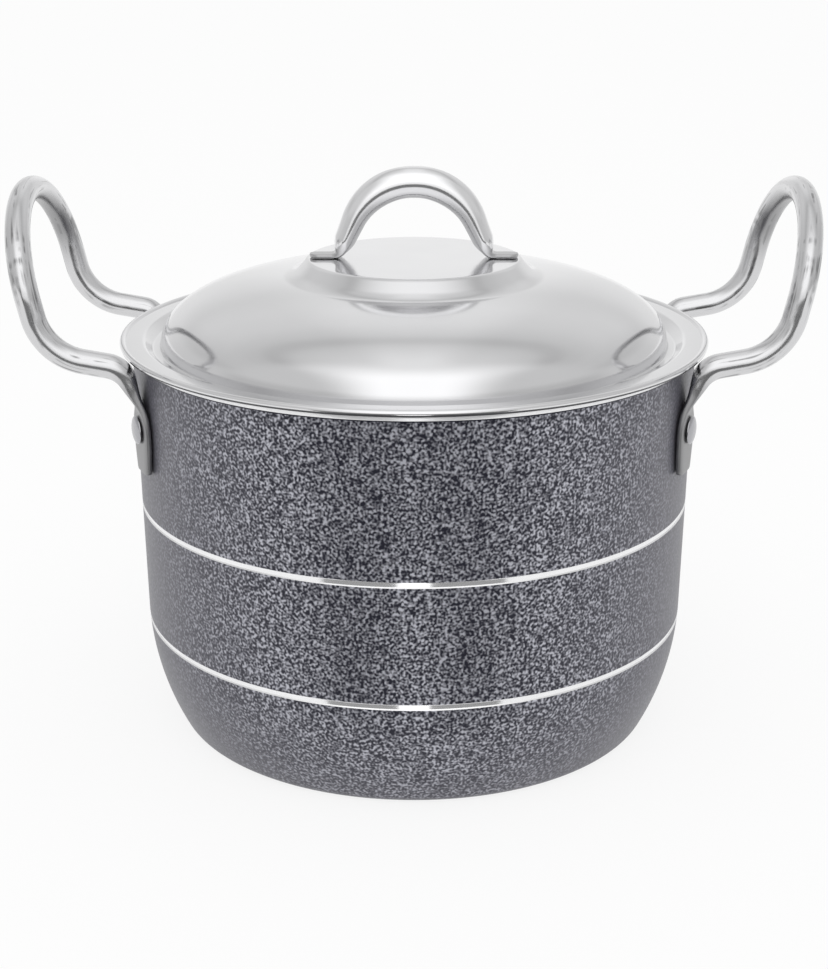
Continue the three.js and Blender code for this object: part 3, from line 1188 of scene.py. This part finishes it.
def fitted_bends(corners: Sequence[Vector], radii: Sequence[float]) -> list[tuple[Vector, float]]:
    """Bend radii that fit the straight runs beside them.

    Args:
        corners: The corners of a path, its ends included.
        radii: The wanted radius at each corner between the ends.

    Returns:
        Each corner with the radius of its bend.
    """
    runs = [b - a for a, b in pairwise(corners)]
    halves = [math.tan(a.angle(b) / 2) for a, b in pairwise(runs)]
    reaches = [radius * half for radius, half in zip(radii, halves)]
    for i, run in enumerate(runs):
        beside = [j for j in (i - 1, i) if 0 <= j < len(reaches)]
        fit = min(1.0, run.length / sum(reaches[j] for j in beside))
        for j in beside:
            reaches[j] *= fit
    fitted = [reach / half for reach, half in zip(reaches, halves)]
    return list(zip(corners, [0.0, *fitted, 0.0]))


@dataclass(frozen=True)
class BarSection:
    """How a bar's section changes from its pressed end to its middle."""

    end_width: float
    flat_width: float
    taper_length: float
    neck_start: float
    neck_length: float
    flat_thickness: float
    flat_length: float
    flare_length: float
    leg_thickness: float
    leg_width: float
    middle_thickness: float
    middle_width: float
    middle_start: float
    middle_length: float
    corner_radius: float
    inner_start: float
    inner_length: float
    # How dark the painted shade is on faces that look into the loop.
    inner_dullness: float = 0.75
    flat_dullness: float = 0.95
    flat_squareness: float = 5.0
    round_squareness: float = 2.0

    def inputs(self) -> dict[str, float]:
        """The sizes as named inputs of the bar recipe."""
        return {name.replace("_", " ").title(): value for name, value in vars(self).items()}


class BarRecipe(Recipe):
    """Grows a bar with pressed flat ends along a path."""

    FACED = Step(0.1, 0.9)

    def __init__(self, name: str, section: BarSection) -> None:
        """Builds the tree.

        Args:
            name: The tree's name.
            section: The sizes that become its named inputs.
        """
        super().__init__(name)
        self.size = {key: self.named(key) for key in section.inputs()}
        centre = self.named("Loop Centre", "NodeSocketVector")
        grid, row, share, _ = self.sheet(self.named("Sides", "NodeSocketInt"))
        self.distance = self.sampled(row, DISTANCE, "FLOAT")
        inset = self.sampled(row, INSET, "FLOAT")
        across = self.sampled(row, ACROSS)
        side = self.vector("CROSS_PRODUCT", across, self.sampled(row, TANGENT))
        raised = self.reached("Flat Length", "Flare Length")
        thickness, width = self.halves(raised, inset)
        power = 2 / self.between(self.size["Flat Squareness"], self.size["Round Squareness"], raised)
        angle = share * FULL_TURN
        start = self.sampled(row)
        place = start
        outward = self.combined(0.0, 0.0, 0.0)
        for way, half, wave in ((across, thickness, "COSINE"), (side, width, "SINE")):
            value = self.math(wave, angle)
            shape = self.math("SIGN", value) * abs(value) ** power
            place = self.vector("ADD", place, self.scaled(way, shape * self.math("MAXIMUM", half, 0.0)))
            outward = self.vector("ADD", outward, self.scaled(way, value))
        # Painted shade: faces that look towards the loop's centre are darkened from the inner start on;
        # the pressed flat ends are darker and duller too.
        inward = self.vector("NORMALIZE", self.vector("SUBTRACT", centre, start))
        faced = self.stepped(self.dot(outward, inward), self.FACED)
        inner = faced * self.reached("Inner Start", "Inner Length") * self.size["Inner Dullness"]
        worn = self.math("MAXIMUM", inner, (1 - raised) * self.size["Flat Dullness"])
        along = self.combined(self.distance, self.math("COSINE", angle), self.math("SINE", angle))
        marked = self.stored(self.stored(grid, DULL_AND_SHADE, worn, "FLOAT"), STREAK, along, "FLOAT_VECTOR")
        zone = PlainZone.FINISH.number
        self.finish(self.stored(self.shaped(marked, place), ZONE, zone, "INT", "FACE"), PlainZone)

    def reached(self, start: str, length: str) -> Wire:
        """A soft step along the bar, from one named size over the length of another."""
        return self.smooth(self.distance, self.size[start], self.size[start] + self.size[length])

    def halves(self, raised: Wire, inset: Wire) -> tuple[Wire, Wire]:
        """Half of the bar's thickness and half of its width.

        Args:
            raised: How far the pressed end has grown into the full bar.
            inset: How much the section shrinks at the rounded end.

        Returns:
            The two halves.
        """
        size = self.size
        middle = self.reached("Middle Start", "Middle Length")
        narrowed = self.reached("Neck Start", "Neck Length")
        tapered = self.math("MINIMUM", self.distance / size["Taper Length"], 1.0)
        taper = self.math("SINE", tapered * (math.pi / 2))
        flat_width = self.between(size["End Width"], size["Flat Width"], taper)
        leg_thickness = self.between(size["Leg Thickness"], size["Middle Thickness"], middle)
        leg_width = self.between(size["Leg Width"], size["Middle Width"], middle)
        corner = size["Corner Radius"]
        left = self.math("MAXIMUM", corner - self.distance, 0.0)
        narrowing = corner - self.math("SQRT", corner * corner - left * left)
        thickness = self.between(size["Flat Thickness"], leg_thickness, raised) / 2 - inset
        width = self.between(flat_width, leg_width, narrowed) / 2 - narrowing - inset
        return thickness, width


@dataclass(frozen=True)
class Mirrored:
    """A bar's half path, the direction of its flat faces and the mirror that gives the other half."""

    half: Path
    facing: Vector
    mirror: Vector
    roll: float = 0.0
    roll_start: float = 0.0
    roll_length: float = 1.0
    spacing: float = 0.9 * MM
    edge_steps: int = 5

    def rolled(self, across: Vector, tangent: Vector, distance: float) -> Vector:
        """The direction of the flat faces after the bar's slow twist.

        Args:
            across: The direction without the twist.
            tangent: The path's direction there.
            distance: The distance from the bar's end.

        Returns:
            The twisted direction.
        """
        share = min(max((distance - self.roll_start) / self.roll_length, 0.0), 1.0)
        twisted = across.copy()
        twisted.rotate(Quaternion(tangent, self.roll * share * share * (3 - 2 * share)))
        return twisted

    def stations(self, edge: float) -> list[tuple[float, float]]:
        """Places along the half path, with how much the section shrinks there.

        Args:
            edge: Radius of the rounding at the bar's end.

        Returns:
            Distances and insets, from the closed end to the middle.
        """
        angles = [math.pi / 2 * i / self.edge_steps for i in range(self.edge_steps + 1)]
        ends = [(edge * (1 - math.cos(a)), edge * (1 - math.sin(a))) for a in angles]
        steps = math.ceil((self.half.length - edge) / self.spacing)
        rest = [edge + (self.half.length - edge) * i / steps for i in range(1, steps + 1)]
        return [(0.0, self.half.length), *ends, *((place, 0.0) for place in rest)]

    def seed(self, name: str, edge: float, turn: Vector) -> bpy.types.Mesh:
        """The seed of the whole bar.

        Args:
            name: The seed's name.
            edge: Radius of the rounding at the bar's ends.
            turn: Signs that turn the bar to its side of the object.

        Returns:
            A line of points with the section's directions, its distance and its inset at each.
        """
        across = self.facing.copy()
        rows = []
        for distance, inset in self.stations(edge):
            tangent = self.half.tangent(distance)
            across = (across - tangent * across.dot(tangent)).normalized()
            facing = self.rolled(across, tangent, distance)
            rows.append((self.half.at(distance), facing, tangent, distance, inset))
        other = [
            (point * self.mirror, way * self.mirror, -(tangent * self.mirror), distance, inset)
            for point, way, tangent, distance, inset in reversed(rows[:-1])
        ]
        rows += other
        mesh = seed_mesh(name, [row[0] * turn for row in rows])
        for key, column in ((ACROSS, 1), (TANGENT, 2)):
            values = [value for row in rows for value in row[column] * turn]
            mesh.attributes.new(key, "FLOAT_VECTOR", "POINT").data.foreach_set("vector", values)
        for key, column in ((DISTANCE, 3), (INSET, 4)):
            values = [row[column] for row in rows]
            mesh.attributes.new(key, "FLOAT", "POINT").data.foreach_set("value", values)
        return mesh


AS_BUILT = Vector((1, 1, 1))
HALF_TURN = Vector((-1, -1, 1))


@dataclass
class SideHandle:
    """A round rod bent into a leaning loop, its ends pressed flat against the wall."""

    pot: PotBody
    rod: float = 8.6 * MM
    strap_thickness: float = 2.6 * MM
    strap_width: float = 15.5 * MM
    strap_end_width: float = 11 * MM
    strap_drop: float = 39 * MM
    strap_length: float = 23 * MM
    strap_angle: float = math.radians(23.5)
    strap_twist: float = math.radians(14)
    strap_corner: float = 1.2 * MM
    strap_edge: float = 0.6 * MM
    rivet_rise: float = 15.5 * MM
    neck_length: float = 17.5 * MM
    flare_length: float = 19 * MM
    seat_gap: float = 0.3 * MM
    elbow_clearance: float = 2.6 * MM
    elbow_drop: float = 1.1 * MM
    arm_rise: float = 4.6 * MM
    half_width: float = 43 * MM
    reach: float = 24.6 * MM
    lean: float = 10.7 * MM
    loop_height: float = 48.8 * MM
    loop_spring: float = 0.38
    bends: tuple[float, ...] = (12 * MM, 8 * MM, 20 * MM)
    # Where the painted shade on the loop's inner faces begins, and the length over which it sets in.
    inner_start: float = 72 * MM
    inner_length: float = 22 * MM
    sides: int = 40
    bend_steps: int = 120
    loop_steps: int = 240

    @property
    def strap_direction(self) -> Vector:
        """Direction of the front strap from the pot's axis."""
        return Vector((math.cos(self.strap_angle), -math.sin(self.strap_angle), 0))

    @property
    def strap_bottom(self) -> float:
        """Height of the strap's cut end."""
        return self.pot.height - self.strap_drop

    @property
    def rivet_height(self) -> float:
        """Height of the rivets."""
        return self.strap_bottom + self.rivet_rise

    def on_strap(self, height: float) -> Vector:
        """The middle of the front strap at a height."""
        reach = self.pot.outer_radius(height) + self.seat_gap + self.strap_thickness / 2
        return self.strap_direction * reach + Vector((0, 0, height))

    def half_path(self) -> Path:
        """Bends the rod's middle line.

        Returns:
            The path from the front strap to the middle of the grip.
        """
        elbow_radius = self.pot.lip_radius + self.rod / 2 + self.elbow_clearance
        elbow_height = self.pot.height - self.elbow_drop
        foot_height = elbow_height + self.arm_rise
        foot = Vector((self.pot.rim_radius + self.reach, -self.half_width, foot_height))
        leg = Vector((self.lean, 0, self.loop_height))
        spring = foot + leg * self.loop_spring
        corners = [
            self.on_strap(self.strap_bottom),
            self.on_strap(self.strap_bottom + self.strap_length),
            self.strap_direction * elbow_radius + Vector((0, 0, elbow_height)),
            foot,
            spring,
        ]
        rise = leg * (1 - self.loop_spring)
        across = Vector((0, self.half_width, 0))
        angles = [math.pi / 2 * i / self.loop_steps for i in range(1, self.loop_steps + 1)]
        loop = [spring + rise * math.sin(a) + across * (1 - math.cos(a)) for a in angles]
        return Path([*rounded(fitted_bends(corners, self.bends), self.bend_steps), *loop])

    @property
    def loop_centre(self) -> Vector:
        """The middle of the opening that the fingers go through."""
        reach = self.pot.rim_radius + self.reach + self.lean / 2
        return Vector((reach, 0, self.pot.height + self.loop_height / 2))

    def section(self) -> BarSection:
        """How the rod is pressed flat towards its ends."""
        return BarSection(
            end_width=self.strap_end_width,
            flat_width=self.strap_width,
            taper_length=self.rivet_rise,
            neck_start=self.rivet_rise,
            neck_length=self.neck_length,
            flat_thickness=self.strap_thickness,
            flat_length=self.strap_length,
            flare_length=self.flare_length,
            leg_thickness=self.rod,
            leg_width=self.rod,
            middle_thickness=self.rod,
            middle_width=self.rod,
            middle_start=self.strap_length,
            middle_length=self.flare_length,
            corner_radius=self.strap_corner,
            inner_start=self.inner_start,
            inner_length=self.inner_length,
        )

    def build(self, finish: Finish) -> None:
        """Builds and dresses both handles.

        Args:
            finish: Their finish.
        """
        section = self.section()
        recipe = BarRecipe("rod_handle", section)
        line = Mirrored(
            self.half_path(),
            self.strap_direction,
            Vector((1, -1, 1)),
            roll=self.strap_twist,
            roll_start=self.rivet_rise,
            roll_length=self.neck_length,
        )
        values = {**section.inputs(), "Sides": self.sides, PlainZone.FINISH.value: finish.material()}
        for side, turn in (("right", AS_BUILT), ("left", HALF_TURN)):
            values["Loop Centre"] = self.loop_centre * turn
            seed = line.seed(f"handle_{side}_path", self.strap_edge, turn)
            handle = recipe.grow(f"handle_{side}_rod", seed, values)
            put_in_place(handle, Body.POT, Slot.ROD_STEEL, f"handle_{side}")


@dataclass
class LidArch:
    """The lid's handle: a tube bent into an arch, pressed flat at both feet."""

    lid: Lid
    top: float
    tube: float = 11.2 * MM
    span: float = 54 * MM
    lean: float = math.radians(24.2)
    crown_radius: float = 23 * MM
    foot_thickness: float = 7.4 * MM
    foot_width: float = 12 * MM
    tab_thickness: float = 1.2 * MM
    tab_width: float = 7 * MM
    tab_margin: float = 0.75 * MM
    tab_bend: float = 3 * MM
    tab_flare: float = 6 * MM
    tab_corner: float = 3.2 * MM
    tab_edge: float = 0.5 * MM
    tab_dullness: float = 0.7
    # Painted shade on the arch's inner faces.
    inner_dullness: float = 0.12
    seat_gap: float = 0.3 * MM
    sides: int = 48
    bend_steps: int = 120
    spacing: float = 0.6 * MM

    @classmethod
    def from_frame(cls, lid: Lid) -> "LidArch":
        """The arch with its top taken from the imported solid, on a lid."""
        _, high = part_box("lid_handle")
        return cls(lid=lid, top=high.z)

    @property
    def tab_length(self) -> float:
        """Length of one flat foot."""
        return self.lid.boss_top_radius - self.tab_margin - self.span / 2

    def half_path(self) -> Path:
        """Bends the tube's middle line.

        Returns:
            The path from the left foot to the crown.
        """
        half = self.span / 2
        tab_height = self.lid.boss_top + self.seat_gap + self.tab_thickness / 2
        crown_height = self.top - self.tube / 2
        crown_x = -half + math.tan(self.lean) * (crown_height - tab_height)
        corners = [
            Vector((-half - self.tab_length, 0, tab_height)),
            Vector((-half, 0, tab_height)),
            Vector((crown_x, 0, crown_height)),
            Vector((0, 0, crown_height)),
        ]
        bends = fitted_bends(corners, (self.tab_bend, self.crown_radius))
        return Path(rounded(bends, self.bend_steps))

    def section(self) -> BarSection:
        """How the tube is pressed flat towards its feet."""
        return BarSection(
            end_width=self.tab_width,
            flat_width=self.tab_width,
            taper_length=self.tab_length,
            neck_start=self.tab_length - self.tab_bend,
            neck_length=self.tab_bend + self.tab_flare,
            flat_thickness=self.tab_thickness,
            flat_length=self.tab_length - self.tab_bend,
            flare_length=self.tab_bend + self.tab_flare,
            leg_thickness=self.foot_thickness,
            leg_width=self.foot_width,
            middle_thickness=self.tube,
            middle_width=self.tube,
            middle_start=self.tab_length,
            middle_length=self.top - self.lid.boss_top,
            corner_radius=self.tab_corner,
            inner_start=self.tab_length,
            inner_length=self.tab_flare,
            flat_dullness=self.tab_dullness,
            inner_dullness=self.inner_dullness,
        )

    def build(self, finish: Finish) -> None:
        """Builds and dresses the arch.

        Args:
            finish: Its finish.
        """
        section = self.section()
        recipe = BarRecipe("tube_arch", section)
        line = Mirrored(self.half_path(), Vector((0, 0, 1)), Vector((-1, 1, 1)), spacing=self.spacing)
        values = {
            **section.inputs(),
            "Sides": self.sides,
            "Loop Centre": Vector((0, 0, self.lid.boss_top)),
            PlainZone.FINISH.value: finish.material(),
        }
        arch = recipe.grow("lid_arch", line.seed("arch_path", self.tab_edge, AS_BUILT), values)
        put_in_place(arch, Body.COVER, Slot.ARCH_STEEL, "lid_handle")


@dataclass
class Rivets:
    """Four rivets, one through each strap and the pot wall."""

    handle: SideHandle
    shank: float = 5 * MM
    head: float = 10 * MM
    head_height: float = 1.7 * MM
    head_edge: float = 0.35 * MM
    tail: float = 9 * MM
    tail_height: float = 1.6 * MM
    tail_edge: float = 0.5 * MM
    gap: float = 0.3 * MM
    round_steps: int = 48
    dome_steps: int = 14
    edge_steps: int = 6

    NODES = ("rivet_right_front", "rivet_right_rear", "rivet_left_front", "rivet_left_rear")
    EACH_SIDE = 2

    def section(self) -> list[Vector]:
        """Goes once round a rivet.

        Returns:
            The points about its axis, with height zero at the outside of the pot wall.
        """
        seat = self.handle.seat_gap + self.handle.strap_thickness + self.gap
        tail = -self.handle.pot.wall - self.gap
        dome = []
        for i in range(self.dome_steps + 1):
            angle = math.pi / 2 * (1 - i / self.dome_steps)
            rise = (self.head_height - self.head_edge) * math.sin(angle)
            dome.append(Vector((self.head / 2 * math.cos(angle), seat + self.head_edge + rise)))
        tail_end = tail - self.tail_height
        closed_end = rounded([
            (Vector((self.tail / 2, tail)), 0),
            (Vector((self.tail / 2, tail_end)), self.tail_edge),
            (Vector((0, tail_end)), 0),
        ], self.edge_steps)
        return [
            *dome,
            Vector((self.head / 2 - self.head_edge, seat)),
            Vector((self.shank / 2, seat)),
            Vector((self.shank / 2, tail)),
            *closed_end,
        ]

    def build(self, finish: Finish) -> None:
        """Builds and dresses the four rivets.

        Args:
            finish: Their finish.
        """
        recipe = Recipe("rivets")
        one = recipe.turned(recipe.named("Round Steps", "NodeSocketInt"))
        radius = recipe.named("Wall Radius")
        height = recipe.named("Rivet Height")
        strap_angle = recipe.named("Strap Angle")
        index = recipe.add("GeometryNodeInputIndex")["Index"]
        side = recipe.whole(index, self.EACH_SIDE)
        angle = side * math.pi + strap_angle * (1 - 2 * (index - self.EACH_SIDE * side))
        inputs = {"Count": len(self.NODES), "Position": recipe.round_axis(radius, angle, height)}
        points = recipe.add("GeometryNodePoints", inputs=inputs)["Geometry"]
        inputs = {"Euler": recipe.combined(0.0, math.pi / 2, angle)}
        facing = recipe.add("FunctionNodeEulerToRotation", inputs=inputs)["Rotation"]
        inputs = {"Points": points, "Instance": one, "Rotation": facing}
        four = recipe.add("GeometryNodeInstanceOnPoints", inputs=inputs)["Instances"]
        recipe.finish(four, PlainZone)
        values = {
            "Round Steps": self.round_steps,
            "Wall Radius": self.handle.pot.outer_radius(self.handle.rivet_height),
            "Rivet Height": self.handle.rivet_height,
            "Strap Angle": self.handle.strap_angle,
            PlainZone.FINISH.value: finish.material(),
        }
        seed = section_seed("rivet_section", [(PlainZone.FINISH, self.section())])
        put_in_place(recipe.grow("rivets", seed, values), Body.POT, Slot.RIVET_METAL, *self.NODES)


@dataclass(frozen=True)
class Softbox:
    """A rectangular studio lamp of an even brightness."""

    name: str
    at: tuple[float, float, float]
    width: float
    depth: float
    brightness: float
    aim: tuple[float, float, float] = (0.0, 0.0, 0.1)

    WATTS_PER_BRIGHTNESS = 4.0

    def build(self) -> None:
        """Adds the lamp to the scene."""
        light = bpy.data.lights.new(self.name, "AREA")
        light.shape = "RECTANGLE"
        light.size = self.width
        light.size_y = self.depth
        light.energy = self.WATTS_PER_BRIGHTNESS * self.brightness * self.width * self.depth
        lamp = bpy.data.objects.new(self.name, light)
        lamp.location = self.at
        lamp.rotation_euler = (Vector(self.aim) - Vector(self.at)).to_track_quat("-Z", "Y").to_euler()
        lamp.visible_glossy = False
        bpy.context.scene.collection.objects.link(lamp)


@dataclass(frozen=True)
class Studio:
    """A white tent over a pale floor, with a dark room and a lit gap in front of the table."""

    floor_half: float = 8.0
    floor_level: float = -0.0002
    floor_colour: Colour = (0.95, 0.95, 0.95)
    floor_glow: float = 1.0
    floor_shadow: float = 0.16
    cards_from: float = -0.06
    table_front: float = -0.135
    room_end: float = -1.6
    room_angle: float = math.radians(38.5)
    room_brightness: float = 0.2
    gap_end: float = -0.36
    gap_angle: float = math.radians(7)
    gap_brightness: float = 1.6
    card_level: float = 0.0004
    back_levels: tuple[tuple[float, float], ...] = (
        (0.0, 1.0),
        (0.2, 1.0),
        (0.36, 0.88),
        (0.5, 0.95),
        (0.64, 0.92),
        (0.76, 0.80),
        (0.80, 0.69),
        (0.83, 0.69),
        (0.87, 0.80),
        (0.97, 0.95),
        (1.0, 1.0),
    )
    back_dim_near: Step = Step(0.06, 0.2, 0.0, 0.13)
    back_dim_far: Step = Step(0.4, 0.9, 0.0, 0.16)
    back_share: Step = Step(-0.15, 0.15)
    front_lit: Step = Step(0.0, 0.5, 1.0, 1.35)
    front_low: float = 1.1
    front_low_end: Step = Step(0.06, 0.26)
    front_share: Step = Step(0.2, 0.65, 1.0, 0.0)
    side_low: Step = Step(0.1, 0.35, 0.6, 0.72)
    side_high: Step = Step(0.75, 0.95, 0.0, 0.18)
    lamps: tuple[Softbox, ...] = (
        Softbox("overhead_softbox", (0.0, -0.25, 1.5), 2.0, 1.3, 0.22),
        Softbox("front_softbox", (0.0, -1.35, 1.0), 0.7, 0.9, 0.8),
    )

    def sheet(self, name: str, corners: Sequence[tuple[float, float, float]]) -> bpy.types.Object:
        """A flat piece of the stage.

        Args:
            name: Its name.
            corners: Its corners, in order.

        Returns:
            The flat piece.
        """
        mesh = bpy.data.meshes.new(name)
        mesh.from_pydata(corners, [], [tuple(range(len(corners)))])
        flat = bpy.data.objects.new(name, mesh)
        bpy.context.scene.collection.objects.link(flat)
        return flat

    def floor(self) -> None:
        """Adds the pale floor, nearly white with a soft shadow and clear from underneath."""
        half = self.floor_half
        corners = [(-half, -half), (half, -half), (half, half), (-half, half)]
        floor = self.sheet("floor", [(x, y, self.floor_level) for x, y in corners])
        surface = Surface("floor_white")
        matt = surface.add("ShaderNodeBsdfDiffuse", inputs={"Color": rgba(self.floor_colour)})["BSDF"]
        path = surface.add("ShaderNodeLightPath")
        seen = path["Is Camera Ray"] + path["Is Glossy Ray"] + path["Is Transmission Ray"]
        shown = surface.math("MINIMUM", seen, 1.0) * (1 - self.floor_shadow)
        top = surface.mixed_shader(shown, matt, surface.glow(self.floor_glow))
        clear = surface.add("ShaderNodeBsdfTransparent")["BSDF"]
        below = surface.add("ShaderNodeNewGeometry")["Backfacing"]
        floor.data.materials.append(surface.finished(surface.mixed_shader(below, top, clear)))

    def card(self, name: str, corners: Sequence[tuple[float, float, float]], brightness: float) -> None:
        """Adds a card that only reflections see.

        Args:
            name: Its name.
            corners: Its corners, in order.
            brightness: How bright it looks.
        """
        card = self.sheet(name, corners)
        surface = Surface(name)
        card.data.materials.append(surface.finished(surface.glow(brightness)))
        card.visible_camera = False
        card.visible_diffuse = False
        card.visible_shadow = False
        card.visible_transmission = False

    def wedge(self, name: str, angle: float, end: float, lift: float, brightness: float) -> None:
        """Adds a card that lies in front of the table and widens away from the pot.

        Args:
            name: Its name.
            angle: Half of the angle that it takes up.
            end: Where it ends.
            lift: Its height.
            brightness: How bright it looks.
        """
        near = (self.cards_from - self.table_front) * math.tan(angle)
        far = (self.cards_from - end) * math.tan(angle)
        outline = [(-near, self.table_front), (near, self.table_front), (far, end), (-far, end)]
        self.card(name, [(x, y, lift) for x, y in outline], brightness)

    def tent(self) -> None:
        """Sets the world: white to the camera, and a tent of uneven brightness to the rest."""
        world = bpy.data.worlds.new("tent")
        world.use_nodes = True
        world.node_tree.nodes.clear()
        graph = Graph(world.node_tree)
        direction = graph.add("ShaderNodeTexCoord")["Generated"]
        parts = graph.add("ShaderNodeSeparateXYZ", inputs={"Vector": direction})
        ahead = parts["Y"] * -1
        beside = abs(parts["X"])
        back = graph.add("ShaderNodeValToRGB", {"stops": self.back_levels}, {"Fac": parts["Z"]})["Color"]
        bright = 1 - graph.stepped(beside, self.back_dim_near) - graph.stepped(beside, self.back_dim_far)
        back = back * bright
        lit = graph.stepped(ahead, self.front_lit)
        lit = graph.between(self.front_low, lit, graph.stepped(parts["Z"], self.front_low_end))
        side = graph.stepped(parts["Z"], self.side_low) + graph.stepped(parts["Z"], self.side_high)
        front = graph.between(side, lit, graph.stepped(beside, self.front_share))
        level = graph.between(front, back, graph.stepped(parts["Y"], self.back_share))
        inside = graph.combined(level, level, level)
        path = graph.add("ShaderNodeLightPath")
        colour = graph.mixed(path["Is Camera Ray"], inside, grey(1.0))
        shader = graph.add("ShaderNodeBackground", inputs={"Color": colour})["Background"]
        graph.add("ShaderNodeOutputWorld", inputs={"Surface": shader})
        bpy.context.scene.world = world

    def build(self) -> None:
        """Adds the floor, the dark room with its lit gap, the tent and the lamps."""
        self.floor()
        self.wedge("dark_room", self.room_angle, self.room_end, self.card_level, self.room_brightness)
        self.wedge("lit_gap", self.gap_angle, self.gap_end, 2 * self.card_level, self.gap_brightness)
        self.tent()
        for lamp in self.lamps:
            lamp.build()


@dataclass(frozen=True)
class PhotoCamera:
    """The camera of the photograph, found from its rings, rims and handles."""

    at: tuple[float, float, float] = (0.0, -0.650, 0.305)
    pitch: float = math.radians(18.65)
    focal_pixels: float = 1845
    frame_height: float = 969
    sensor: float = 36

    def build(self) -> None:
        """Adds the camera to the scene."""
        data = bpy.data.cameras.new("photo_camera")
        data.sensor_width = self.sensor
        data.lens = self.focal_pixels * self.sensor / self.frame_height
        camera = bpy.data.objects.new("photo_camera", data)
        camera.location = self.at
        camera.rotation_euler = (math.pi / 2 - self.pitch, 0, 0)
        bpy.context.scene.collection.objects.link(camera)
        bpy.context.scene.camera = camera


def main() -> None:
    """Sets up the camera and the stage, then builds the pieces in order."""
    logging.basicConfig(level=logging.INFO, format="%(name)s: %(message)s")
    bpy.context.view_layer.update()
    bpy.context.scene.view_settings.view_transform = "Standard"
    PhotoCamera().build()
    Studio().build()
    fresh_cut = (0.95, 0.95, 0.96)
    pot = PotBody.from_frame()
    pot.build({
        PotZone.INSIDE: TurnedAluminium("spun_inside", roughness=0.34, anisotropy=0.5),
        PotZone.LIP: TurnedAluminium("turned_lip", fresh_cut, roughness=0.2, metallic=0.4),
        # Near-black flakes: painted shade under the lip.
        PotZone.PAINT_EDGE: HammertonePaint("paint_edge", flake=(0.05, 0.05, 0.065)),
        PotZone.PAINT: HammertonePaint(),
        PotZone.RING: TurnedAluminium("turned_ring", fresh_cut, roughness=0.1, spread=0.06, metallic=0.8),
        PotZone.BASE: TurnedAluminium("turned_base", roughness=0.3, anisotropy=0.6),
    })
    handle = SideHandle(pot)
    handle.build(
        PolishedSteel("rod_steel", (0.68, 0.68, 0.69), roughness=0.16, wave=0.06 * MM, streaks=0.9)
    )
    Rivets(handle).build(TurnedAluminium("rivet_metal", colour=(0.46, 0.46, 0.48), anisotropy=0.0))
    lid = Lid.from_frame(pot)
    lid.build({
        LidZone.SHEET: PolishedSteel("lid_steel", roughness=0.11, turned=True),
        # Near-black steel under the hem: painted shade in the gap over the rim.
        LidZone.SEAM: PolishedSteel("lid_seam", colour=(0.1, 0.1, 0.105), roughness=0.3, turned=True),
    })
    arch_steel = PolishedSteel("arch_steel", colour=(0.82, 0.82, 0.83), roughness=0.13, wave=0.05 * MM)
    LidArch.from_frame(lid).build(arch_steel)


if __name__ == "__main__":
    main()
